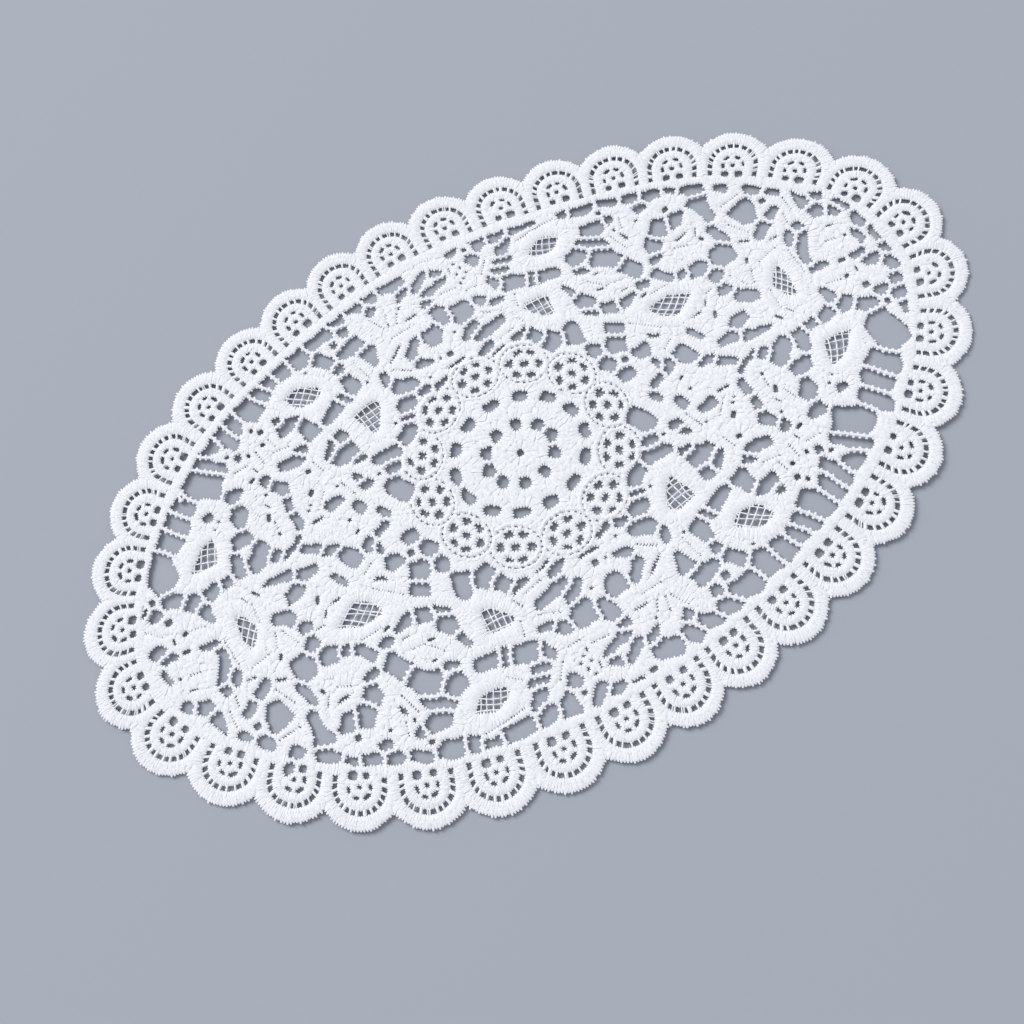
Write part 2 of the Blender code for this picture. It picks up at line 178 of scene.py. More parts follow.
ROSETTE_HOLES = (
    Hole(0, 0, 1.9, 1.8), Hole(-78, 4.0, 2.8, 1.6), Hole(-22, 4.2, 2.5, 1.6), Hole(36, 4.2, 3.0, 1.8),
    Hole(92, 4.0, 2.6, 1.6),
)
FOOT_HOLES = (FootHole(-2.9, 4.0, 3.9, 3.7), FootHole(2.7, 4.2, 3.3, 3.0))
PETAL_HOLES = (
    Hole(0, 6.1, 4.0, 3.9), Hole(60, 5.7, 4.0, 3.3), Hole(120, 5.7, 4.0, 3.3), Hole(180, 6.0, 3.9, 3.4),
    Hole(240, 5.5, 3.8, 2.5), Hole(300, 5.5, 4.0, 2.7),
)
OUTER_RING = Ring(14, 27.0, 23.4, 0.5)
INNER_RING = Ring(10, 14.4, 12.0, 0.0)
PETAL_RING = Ring(12, 39.3, 37.6, -0.04)

# between the left-hand flower, its stem and the footing band
LEFT_END = openings(
    (-158.8, 0.2, 7.5, 3.2, -8), (-143.2, -2.2, 8.8, 3.2, -4, 0, -0.8), (-163.2, -5.9, 6.8, 3.4, -72, 0.1),
    (-142.8, -12.2, 14, 5, 63, -0.1, -1.6), (-160.9, -19.8, 5.4, 4.6, -60, -0.2),
    (-154.5, -23.4, 6.4, 5.8, 0), (-152.3, -32.3, 10.2, 4.4, -82, -0.5), (-145, -22.4, 5, 3.6, -75, -0.1),
    (-139.1, -19.6, 6.6, 4.2, 80, 0.3), (-132.1, -28.3, 8.2, 5.4, 35), (-140.4, -33.2, 6.8, 5, 25),
    (-131.5, -40.3, 11.8, 9.8, -80, 0.15), (-146.2, -40.8, 6.4, 3.8, -45, -0.1),
    (-140, -47.8, 8.2, 4.4, -55), (-131.1, -55.9, 6.8, 4.6, -45), (-137, -60.2, 5, 4.2, 0),
)

# around the left-hand tulip and the two small flowers below it
LEFT_FIELD = openings(
    (-120.6, -52.2, 15, 9.6, -90, 0.45, 0, 0.45), (-118.6, -38.6, 12, 4, -72, 0.05),
    (-115.1, -29.8, 10.6, 9.4, -90, -0.2), (-104.3, -30.5, 7.8, 7.2, 0), (-98.4, -32.1, 4.6, 3.4, 10),
    (-113.6, -8.6, 10, 6.4, -35, -0.05), (-107.5, -15.8, 6, 4.4, 0), (-108.3, -23.1, 6.4, 5.2, 20),
    (-105.5, -2, 8.6, 6.2, 5, 0.1), (-87.8, -6, 8.8, 3.4, -60, 0.15), (-79.7, -0.8, 9.8, 7.4, -72, -0.05),
    (-71.3, 0.2, 6.6, 4, 65), (-68.2, -3.3, 4.4, 2.8, -70), (-66.2, -11.2, 8, 6.4, 20),
    (-55.8, -5.5, 8.2, 5.8, 5, 0, 0.4), (-51.4, -13.3, 7.4, 6, -50), (-59.2, -18.9, 8.6, 7, -25),
    (-50.1, -21.5, 6.6, 5.8, 60), (-62.7, -26.2, 8.6, 5.6, -35), (-66.5, -35.2, 7.4, 6.2, -20),
    (-74.2, -34.2, 9.2, 4.6, 22, 0.45), (-83.2, -36.9, 5.2, 4.2, -20), (-91.7, -36.6, 9.8, 4.8, -62, -0.15),
    (-94.3, -45.2, 6.2, 3.6, 10), (-96.6, -52, 8.4, 6.8, -60), (-83.9, -47, 10.6, 8.4, -60, 0.2),
    (-59.9, -43.4, 8.2, 7.4, -45), (-58.8, -36.8, 6.6, 2.8, -38), (-47.8, -32.8, 11.6, 7.6, 70, 0.05),
    (-38.7, -34.2, 9.8, 7.8, 35), (-34, -40.5, 8.4, 6.2, -60), (-28.9, -44.1, 9.6, 3.2, 15, 0.1),
    (-13.4, -45.7, 9.4, 3.8, 22, -0.2, 0.4),
)

# around the lower-left flower and along the footing band
LOWER_LEFT = openings(
    (-110, -56.2, 8.2, 6, 65), (-102.4, -57.9, 9.6, 7.2, 60), (-122.2, -63.2, 10.4, 5, -38),
    (-114.8, -69.4, 4.6, 2.8, -55), (-107.8, -72.7, 7.2, 5.2, -20, 0.1), (-101.1, -70.5, 5.6, 4.2, 0),
    (-100.2, -77, 6.2, 5.2, -20), (-91.3, -81, 8.4, 5, -40), (-88.2, -73.5, 4.4, 4, 0),
    (-79.8, -73.3, 10.4, 7.4, -10), (-80.6, -84.2, 9.6, 7.8, -25), (-72.5, -86.8, 6.6, 4.4, 75),
    (-66.4, -89.9, 7.2, 3.4, -10), (-76.8, -67.3, 13, 4.2, -32), (-67.8, -64.8, 9.8, 7.4, 15),
    (-77.6, -57.4, 13.6, 9.4, -38, 0.1), (-65.8, -56.9, 6.2, 3.2, -25), (-54, -63.1, 11.2, 6.6, -5),
    (-47, -64.8, 7.4, 3.2, 65), (-57, -51.7, 8, 3.2, -70), (-55.5, -90.9, 12.2, 7.2, -5),
)

# around the two leaf sprays at the bottom and along the footing band
LOWER_MIDDLE = openings(
    (-20.6, -53, 16, 5.4, 14), (-11.8, -56.3, 11.5, 4, 32, -0.25), (11, -53.4, 8, 4.2, -18, 0.2),
    (-13.3, -66, 10.4, 9.6, -80), (-4.9, -69, 9.6, 6.4, -75, 0.1), (-22.6, -67, 5.8, 5.2, -60),
    (-28.8, -62.8, 6.6, 3.6, -5), (-39.6, -67.4, 11, 8.2, -15), (-31.9, -71.4, 7, 4.6, -60),
    (-37.5, -75.5, 7.2, 3.4, -15), (-40.8, -79.1, 8.8, 2.8, -12), (-43.9, -84.8, 9, 4.8, 25),
    (-44.2, -91.6, 8.6, 6.2, 40), (-35, -92.6, 9.4, 6.8, -98, 0.35), (-28.9, -85.4, 7, 5.2, -45),
    (-24, -94.2, 10, 4.8, 48, 0.1), (-16.3, -96.2, 7, 4.2, 15), (-9, -81.5, 13, 3.8, 12, 0.1),
    (-2.2, -76.8, 5.6, 3, 5), (-12.6, -87.6, 5.6, 3.4, -25), (-4.3, -87.4, 10.4, 3.8, 38),
    (4.7, -85.7, 8.2, 3.2, 35), (6.6, -93.4, 11.8, 8.2, -15, 0, 0.3), (17.2, -93, 8.8, 5.8, -55, 0.1),
    (25.3, -92, 9.2, 5.4, -38), (34, -91.2, 9.2, 5.8, -28, 0.1), (43.8, -87.8, 13.2, 8.8, -5, 0.1),
    (33, -83.8, 4.6, 4, 0), (19.2, -85.7, 5.2, 3.6, 60),
)

# between the bow, the medallion and the lower-right tulip
MIDDLE = openings(
    (22.3, -49, 11.6, 6.8, -15, 0.15), (25.6, -41.4, 9.4, 5.8, 0), (17, -42.7, 6.2, 3.4, -5),
    (8.8, -42.1, 7.8, 3, 22, 0.2), (28.2, -36.2, 4.8, 2.4, -10), (31.6, -29.8, 9.2, 6.8, 25, -0.1),
    (42.8, -26.4, 13, 5.4, -5, 0, -0.4), (43.2, -20.7, 6.8, 4.2, 0), (45.2, -11.3, 12.6, 8.8, -60, -0.1),
    (55.4, -19.6, 6.6, 4, 0, 0, -0.4), (57.4, -24.9, 4.8, 3, -50), (55, -6.8, 6.4, 3.6, -55),
    (62.3, -13.3, 7, 5.2, -70, 0.1), (52.9, -30.7, 5.4, 2.6, 0), (57.1, -35.6, 12.2, 6.4, 20, -0.1),
    (54.8, -43.7, 6, 5.2, -60), (61.7, -41.1, 8, 3.4, 45, 0.1), (53.2, -54.2, 11.2, 5.8, 25, -0.1),
    (46.2, -57.4, 6.6, 2.4, -50), (40.8, -61.4, 9.6, 6.8, -80, -0.2), (28.3, -55.9, 7, 4, 80, -0.1),
    (28.3, -68, 9.8, 6.8, -92, 0.4), (33.4, -75.8, 12.2, 6.2, 8, -0.1), (45.9, -76.4, 8.8, 6.4, -50),
    (41.9, -70, 4.6, 4, 0), (12.3, -61.8, 10.4, 5, 48, 0.1), (2.4, -62, 9.6, 8.2, -90, 0.1),
)

# the long bars to the footing band and the flower above them
LOWER_RIGHT = openings(
    (54.5, -84.1, 11.6, 8.6, -72), (63, -83.2, 11.4, 6.8, -72), (70.2, -81.1, 8.6, 4.8, -55),
    (75.8, -78.6, 12.4, 5, -48), (82.7, -74.4, 14.6, 9.6, -58, 0.05), (91.3, -72.5, 13, 5.4, -74, 0.05),
    (96.4, -68.1, 15.6, 5.2, -67), (104.6, -68.2, 9.8, 6.2, -10, -0.3), (107.7, -61.1, 18, 4.8, -40),
    (113, -54.6, 16.4, 13, -38), (125.5, -52.2, 14.8, 6.8, -58), (130.6, -45.6, 14.8, 6.2, -52),
    (137.6, -40.6, 15.6, 7.8, -50), (74.8, -63.7, 3.8, 3.2, 0), (95.6, -57, 3.6, 3.4, 0),
    (78, -44.1, 11.2, 5.8, -8), (71.4, -47.1, 5.2, 3.2, -35), (64.8, -53, 10.2, 6.8, -75, -0.15),
    (71.6, -58.8, 11.8, 4.8, 20, 0.15),
)

# around the leaf pair and the right-hand stems
RIGHT_FIELD = openings(
    (58.9, -1.1, 6.8, 3.8, 10, 0, 0.4), (70.3, -19.7, 9, 5.2, 10, 0.1, -0.5), (86, -37, 7.6, 5.6, -40),
    (86.5, -29.2, 5.8, 3.8, 80), (86.3, -21, 7.2, 4.4, -80, 0.1), (80.1, -3.9, 7.6, 3.4, 10),
    (86.6, -8.1, 8.4, 4.4, -20), (92.2, -0.6, 10.2, 5, -5, 0.1), (103.8, -4, 14.2, 4, -6, -0.25),
    (100.6, -12.9, 6, 3.6, 35), (106.9, -15.8, 13.2, 7.8, 42, 0.1), (116.2, -16.5, 10.6, 5.8, -95, -0.25),
    (123, -12.5, 5.2, 4.6, 0), (130.2, -12.4, 7.6, 6, 28, 0.1), (139.5, -12.2, 8.6, 5.6, 22),
    (109.9, -25.3, 9.4, 6.2, 0, 0, -0.4), (106.1, -35, 9, 7.6, 45), (103.8, -44, 8.8, 5.2, 18, 0.1),
    (117.6, -40.9, 5.2, 4.8, 0), (90.6, -43, 5.8, 4.2, 40), (92.8, -12.6, 11, 2.2, 30),
)

# between the right-hand flower and the footing band
RIGHT_END = openings(
    (146.1, -30.3, 17.4, 14.6, -82), (145.9, -16.4, 9.2, 6, -22, 0, 0.2), (154.5, -14.4, 5.4, 4.8, 0),
    (162, -13.7, 5.2, 4.6, 0), (159.5, -19.3, 5.8, 5, 0), (164.5, -6.9, 7, 5.2, -65),
    (158.8, -1.7, 7.4, 5, 0), (166.3, 0.1, 5.2, 2.8, -80), (135.4, -4.6, 8.6, 4.4, -70, 0.35),
    (157.5, -26, 5.6, 3, 75),
)

# between the second half's flower and the footing band, where the first half has none
RIGHT_SIDE = openings(
    (157.2, 34.2, 5.6, 3.8, -38, 0.2), (163.2, 25.6, 8, 3.2, -68), (164.6, 16.2, 6.8, 4.8, -80),
    (166.4, 7.2, 7.4, 2.8, -88),
)

# slits, picot eyes and pinholes that are too small for the solid
PINHOLES = openings(
    (-140.2, -40, 3, 2.8, 0), (-124.5, -29.1, 4.6, 1.8, -25), (-134.4, -22.9, 3.8, 1.4, -2),
    (-152.2, -0.5, 3.4, 1.8, -8), (-158.4, -27, 4, 1.2, -58), (-158.7, -8.7, 1.2, 1.2, 0),
    (-112.8, -41.2, 2.4, 1.6, -75), (-107.2, -47.8, 5.4, 1.8, 5), (-98.8, -8.8, 3.6, 1.6, 60),
    (-93, -12.8, 4.4, 1.3, 8), (-121, -21.2, 2.6, 1.4, 60), (-117.5, -11.3, 1.2, 0.9, 0),
    (-118.8, 6, 3.6, 1.2, -55), (-73.8, -14.6, 5.6, 2.2, -30, 0, 0.5), (-58.6, -11.4, 3, 2.8, 0),
    (-17.6, -42.2, 7.4, 1.6, 18), (0, -46.7, 9.6, 1.8, 3, 0, 0.3), (0, -51.4, 2.8, 2.8, 0),
    (19.2, -63.7, 9.2, 1.5, 35, 0, 0.3), (-8.8, -97.1, 6.4, 1.6, -5), (-2.3, -96.8, 3.2, 2.2, 0),
    (-28.4, -91.3, 2.2, 2, 0), (39, -80.6, 3.5, 3.3, 0), (82.6, -62.6, 2.6, 2.4, 0),
    (85.6, -65.1, 2, 1.8, 90), (91.3, -56, 1.9, 1.6, 90), (99.3, -60.2, 2, 1.6, 0),
    (84.1, -57.2, 2, 1.8, 0), (79, -17.2, 5.4, 1.8, 3), (67.7, -4.8, 2.2, 1.2, 30),
    (68.2, -10.6, 1.4, 1.2, 0), (95, -20.1, 1.4, 1.2, 90), (95.9, -28.2, 3.4, 2, 65),
    (76.4, -28.6, 3.2, 2.2, 45), (74.1, -32.8, 5, 2.3, 78), (73.3, -37.2, 2.6, 2, 0),
    (94.8, -45.8, 3.2, 1.6, 20), (115.2, -3.1, 3.4, 1.8, -60), (153.4, -20.2, 3, 2.4, 90),
    (152.8, -29.2, 3.4, 2.8, 90), (150.7, -9.8, 3.2, 2.8, 0), (146.4, -2.6, 2.4, 1.8, 20),
    (151.5, -2, 2.4, 1, 85), (114.5, -37.1, 1.2, 1.1, 0), (92.4, -37.4, 1.4, 1.1, 0),
    (-109, -63.2, 2.6, 2.6, 0), (-85.8, -78.3, 2.2, 2, 0), (-89.6, -63, 4.8, 2.2, -80),
    (-89.6, -66.5, 2.6, 1.6, 20), (-83.8, -66.9, 1.4, 1.2, 0), (-87.6, -68.2, 1.6, 1.1, 80),
    (-97.1, -66.8, 1.4, 1.1, 0), (-37.7, -81.4, 1.6, 1.2, 0), (-68, -45, 3, 1.2, -10),
    (-19.6, -77.9, 1.4, 0.9, 80), (6, -74.6, 5.6, 1.5, 0), (8.6, -81, 1.2, 0.9, 60), (12, -46.5, 1.2, 1, 0),
    (33.6, -36.6, 1.2, 1.2, 0),
)

# rows of pinpricks where petals and leaves meet
SEAMS = openings(
    (-152.6, -9.9, 4.4, 0.7, -12), (-155.8, -15.2, 3.2, 0.7, -15), (-136.8, -10, 11, 0.5, -85),
    (-119.6, -14.4, 6, 0.5, 72), (-114.3, -16.2, 8, 0.4, -64), (-121.9, -1, 9, 0.4, 88),
    (-128.5, -18.5, 8, 0.4, 10), (-147.2, -33, 7, 0.45, 88), (-142.9, -27.6, 4.4, 0.5, 80),
    (-125.9, -35.4, 9, 0.6, -63), (-130.6, -48.6, 9, 0.6, 3), (-104.9, -43.6, 5.6, 0.5, -28),
    (-112.6, -45.6, 4, 0.4, 60), (-86.2, -62, 9, 0.45, -72), (-91.4, -69.6, 5, 0.4, 75),
    (-75.2, -44.7, 9, 0.5, -6), (-70.6, -52.6, 2, 0.8, 0), (-76, -39.4, 3, 0.6, 0),
    (-67.5, -49, 6, 0.4, -50), (-59, -85.2, 18, 0.5, 3, 0, -0.5), (-47.6, -74.2, 7, 0.4, -40),
    (-98.4, -15.4, 3, 0.8, 55), (-102.6, -19, 3.6, 0.5, 0), (-73.4, -20.2, 13, 0.45, -42),
    (-86.5, -31.4, 9, 0.45, 2), (-80.8, -32.6, 3, 1.3, 15), (-76, -8, 5, 0.4, 30),
    (-24.6, -59.2, 8, 0.6, -24), (-33, -50, 4, 0.7, -60), (-24.6, -47.2, 7, 0.5, 12),
    (-36.2, -59, 6, 0.4, 75), (-13.2, -77.2, 7, 0.5, -4), (-22.4, -73.6, 5, 0.4, 0),
    (-24.2, -81.4, 1.2, 1, 0), (-21.9, -79.4, 1.2, 0.9, 0), (-22.8, -84.6, 1.4, 0.9, 60),
    (-20.2, -82.4, 1.2, 0.9, 0), (-18.1, -85.4, 2.4, 0.6, 80), (-21.2, -87.4, 1.4, 0.8, 0),
    (-31.6, -80, 7, 0.4, 52), (-6.2, -59, 1.3, 1, 0), (4.4, -51.8, 1.2, 0.8, 60),
    (20.4, -55.6, 7.6, 0.8, -35), (34.3, -64.8, 9, 0.5, -76), (34.8, -58.6, 1.2, 1.1, 0),
    (54.3, -75.8, 1.3, 1, 0), (11.4, -77.2, 4.6, 0.5, 62), (19.6, -79.4, 8, 0.5, -62),
    (15.2, -78.6, 6, 0.7, 78), (13.2, -70.6, 9, 0.4, 2), (62.6, -22.3, 7.4, 0.8, -68),
    (66, -25.6, 1.2, 0.9, 0), (49.2, -21.2, 1.4, 1.1, 0), (78.9, -24.2, 1.2, 1, 0),
    (80.5, -22.6, 1.2, 1, 0), (74.4, -23.4, 8, 0.4, 47), (94.5, -24.2, 3.6, 0.6, 88),
    (94.1, -32.8, 2.6, 0.6, -60), (99.8, -33, 5, 0.45, -70), (87.6, -53, 6, 0.7, -82),
    (80.6, -56, 4.6, 0.45, -75), (91.6, -49, 2.4, 0.6, -70), (96.6, -52.4, 6, 0.45, 0),
    (78.6, -51.4, 7, 0.4, -8), (68.8, -37, 6, 0.45, -70), (119.6, -3, 3, 0.5, -60),
    (117.6, -34.6, 1.2, 0.9, 0), (141, -2, 6, 0.4, -12), (157.6, -8.6, 7, 0.4, -45),
)

# windows with a net in the leaves and tulips
NET_WINDOWS = (
    NetWindow(Opening(-129.6, -5.5, 14.8, 7.4, -90, 0, 2.1, corner=1.5), 56, -50),
    NetWindow(Opening(-87.4, -24.8, 18.8, 10.4, -12, 0, 2.7, corner=1.3), 38, -38),
    NetWindow(Opening(-43.1, -50.5, 10.6, 9.4, -76, 0.42, 0, 0, 0.38), -6, 86),
    NetWindow(Opening(-58.9, -77.2, 15.6, 8.0, 6, 0, 0.7, corner=1.6), 58, -25),
    NetWindow(Opening(40.9, -43.9, 12.8, 9.0, -90, 0.5, 0, 0, -0.12, 3.2), 5, -82),
    NetWindow(Opening(60.0, -67.8, 16.2, 9.2, -12, 0, 0.9, corner=1.6), 42, -36),
    NetWindow(Opening(127.6, -27.9, 17.8, 8.8, 33, 0, 3.1, corner=1.3), -18, 64),
)

# where the field is divided into pieces, along its length
FIELD_EDGES = (-105.0, -55.0, 0.0, 55.0, 105.0)


# --------------------------------------------------------------------------------------------------
# plan geometry
# --------------------------------------------------------------------------------------------------
def wave_sum(waves: tuple[Wave, ...], share: float) -> float:
    """Sum of the waves at a share of the way round.

    Args:
        waves: the waves to add up.
        share: place on the rim, from 0 to 1.

    Returns:
        The height of their sum.
    """
    angle = math.tau * share
    return sum(w.cosine * math.cos(w.order * angle) + w.sine * math.sin(w.order * angle) for w in waves)


def signed_area(loop: np.ndarray) -> float:
    """Area inside a loop, positive where it runs counter-clockwise."""
    x, y = loop[:, 0], loop[:, 1]
    return float(np.sum(x * np.roll(y, -1) - np.roll(x, -1) * y)) / 2.0


def counter_clockwise(loop: np.ndarray) -> np.ndarray:
    """The loop, turned round if it runs clockwise."""
    return loop if signed_area(loop) > 0.0 else loop[::-1]


def even_points(line: np.ndarray, pitch: float, closed: bool = True) -> np.ndarray:
    """Points at even distances along a line.

    Args:
        line: corner points, one row each.
        pitch: wanted distance between the points.
        closed: whether the line returns to its first point.

    Returns:
        The points, without a repeated last one on a closed line.
    """
    whole = np.vstack([line, line[:1]]) if closed else line
    runs = np.hypot(*np.diff(whole, axis=0).T)
    along = np.concatenate([[0.0], np.cumsum(runs)])
    count = max(5, round(along[-1] / pitch))
    wanted = np.linspace(0.0, along[-1], count, endpoint=not closed)
    return np.column_stack([np.interp(wanted, along, whole[:, 0]), np.interp(wanted, along, whole[:, 1])])


def left_normals(line: np.ndarray, closed: bool = True) -> np.ndarray:
    """Unit normals to the left of a line at each of its points.

    Args:
        line: its points, one row each.
        closed: whether it returns to its first point.

    Returns:
        One normal for each point.
    """
    if closed:
        run = np.roll(line, -1, axis=0) - np.roll(line, 1, axis=0)
    else:
        run = np.gradient(line, axis=0)
    run /= np.maximum(np.hypot(run[:, 0], run[:, 1]), 1e-9)[:, None]
    return np.column_stack([-run[:, 1], run[:, 0]])


def swung(way: np.ndarray, degrees: float) -> np.ndarray:
    """A plan direction, turned by an angle.

    Args:
        way: unit direction.
        degrees: the angle, counter-clockwise.

    Returns:
        The turned direction.
    """
    turn = math.radians(degrees)
    return np.array([
        way[0] * math.cos(turn) - way[1] * math.sin(turn),
        way[0] * math.sin(turn) + way[1] * math.cos(turn),
    ])


def set_down(place: Place, along: np.ndarray, across: np.ndarray) -> np.ndarray:
    """Plan points from their distances along and across the direction of a place.

    Args:
        place: where the distances are measured from, and which way.
        along: distances along its direction.
        across: distances to the left of it.

    Returns:
        The points, one row each.
    """
    turn = math.radians(place.turn)
    x = place.x + math.cos(turn) * along - math.sin(turn) * across
    y = place.y + math.sin(turn) * along + math.cos(turn) * across
    return np.column_stack([x, y])


def middle_and_reach(loop: np.ndarray) -> tuple[np.ndarray, float]:
    """The middle of a loop, and how far its farthest point lies from there."""
    middle = loop.mean(axis=0)
    return middle, float(np.hypot(*(loop - middle).T).max())


def gaps_between(loop: np.ndarray, other: np.ndarray, pitch: float) -> np.ndarray:
    """How far each point of a loop is from another loop, which is read at a pitch.

    Args:
        loop: the points that are asked about.
        other: the other loop.
        pitch: distance between the places that are read on it.

    Returns:
        One distance for each point.
    """
    dense = even_points(other, pitch)
    apart = loop[:, None] - dense[None]
    return np.hypot(apart[..., 0], apart[..., 1]).min(axis=1)


def is_inside(point: np.ndarray, loop: np.ndarray) -> bool:
    """Whether a point lies inside a loop.

    Args:
        point: the plan point.
        loop: a closed outline.

    Returns:
        True where a straight line from the point crosses the loop an odd number of times.
    """
    a, b = loop, np.roll(loop, -1, axis=0)
    spans = (a[:, 1] > point[1]) != (b[:, 1] > point[1])
    rise = np.where(spans, b[:, 1] - a[:, 1], 1.0)
    crossing = a[:, 0] + (b[:, 0] - a[:, 0]) * (point[1] - a[:, 1]) / rise
    return bool(np.count_nonzero(spans & (point[0] < crossing)) % 2)


def outline(opening: Opening, corners: int = CORNERS, grow: float = 0.0) -> np.ndarray:
    """The rounded outline of one opening.

    Args:
        opening: its row in a table. Its corner is 2 for an ellipse and more for a boxier shape.
        corners: number of points.
        grow: how much is added on every side.

    Returns:
        Its points, counter-clockwise.
    """
    t = math.tau * (np.arange(corners) + 0.5) / corners
    size = math.hypot(opening.long, opening.wide)
    phase = HAND_PHASE[0] * opening.x + HAND_PHASE[1] * opening.y
    hand = sum(UNEVEN_HAND * np.sin(k * t + phase * k) for k in HAND_WAVES) * min(1.0, size / STEADY_SIZE)
    u = (1.0 + hand) * np.sign(np.cos(t)) * np.abs(np.cos(t)) ** (2.0 / opening.corner)
    v = (1.0 + hand) * np.sign(np.sin(t)) * np.abs(np.sin(t)) ** (2.0 / opening.corner)
    waist = (1.0 + opening.taper * u) * (1.0 - opening.pinch * (1.0 - u * u))
    along = (opening.long / 2.0 + grow) * (u + opening.skew * v)
    across = (opening.wide / 2.0 + grow) * v * waist + opening.bow * (1.0 - u * u)
    return counter_clockwise(set_down(Place(opening.x, opening.y, opening.turn), along, across))


@dataclass
class Rim:
    """The scalloped oval that the whole lace is measured from."""

    half_length: float = 190.0
    half_width: float = 121.2
    scallops: int = 36
    first_tip: float = 0.16
    depth: float = 6.6
    roundness: float = 2.05
    solid_steps: int = 6
    angle_steps: int = 1440
    way: tuple[np.ndarray, np.ndarray] = field(init=False)

    def __post_init__(self) -> None:
        """Measures the way round the oval."""
        angles = np.linspace(0.0, math.tau, self.angle_steps + 1)
        points = np.column_stack([self.half_length * np.cos(angles), self.half_width * np.sin(angles)])
        lengths = np.concatenate([[0.0], np.cumsum(np.hypot(*np.diff(points, axis=0).T))])
        self.way = (lengths / lengths[-1], angles)

    def share_at(self, x: float, y: float) -> float:
        """The share of the way round at which a point lies."""
        angle = math.atan2(y / self.half_width, x / self.half_length) % math.tau
        return float(np.interp(angle, self.way[1], self.way[0]))

    def point(self, share: float, inset: float) -> tuple[float, float]:
        """A point of the oval, moved in along its normal.

        Args:
            share: place on the rim, from 0 to 1.
            inset: distance inwards.

        Returns:
            Its x and y.
        """
        angle = float(np.interp(share % 1.0, *self.way))
        reach = 1.0 + wave_sum(REACH, share)
        nx, ny = math.cos(angle) / self.half_length, math.sin(angle) / self.half_width
        size = math.hypot(nx, ny)
        x = self.half_length * math.cos(angle) * reach - inset * nx / size
        y = self.half_width * math.sin(angle) * reach - inset * ny / size
        return x, y

    def share(self, place: float) -> float:
        """The share of the way round of a place counted in scallops."""
        return (place + wave_sum(CROWDING, place / self.scallops)) / self.scallops

    def scalloped(self, steps: int) -> np.ndarray:
        """The rim with its scallops, drawn with so many straight runs in each.

        Args:
            steps: number of runs in one scallop.

        Returns:
            Its points, one row each.
        """
        loop = []
        for scallop in range(self.scallops):
            for step in range(steps):
                across = 2.0 * step / steps - 1.0
                share = self.share(scallop + self.first_tip + across / 2.0)
                loop.append(self.point(share, self.depth * abs(across) ** self.roundness))
        return np.array(loop)

    def middle(self) -> np.ndarray:
        """The middle of the solid's box, which is the object's origin."""
        loop = self.scalloped(self.solid_steps)
        return (loop.min(axis=0) + loop.max(axis=0)) / 2.0


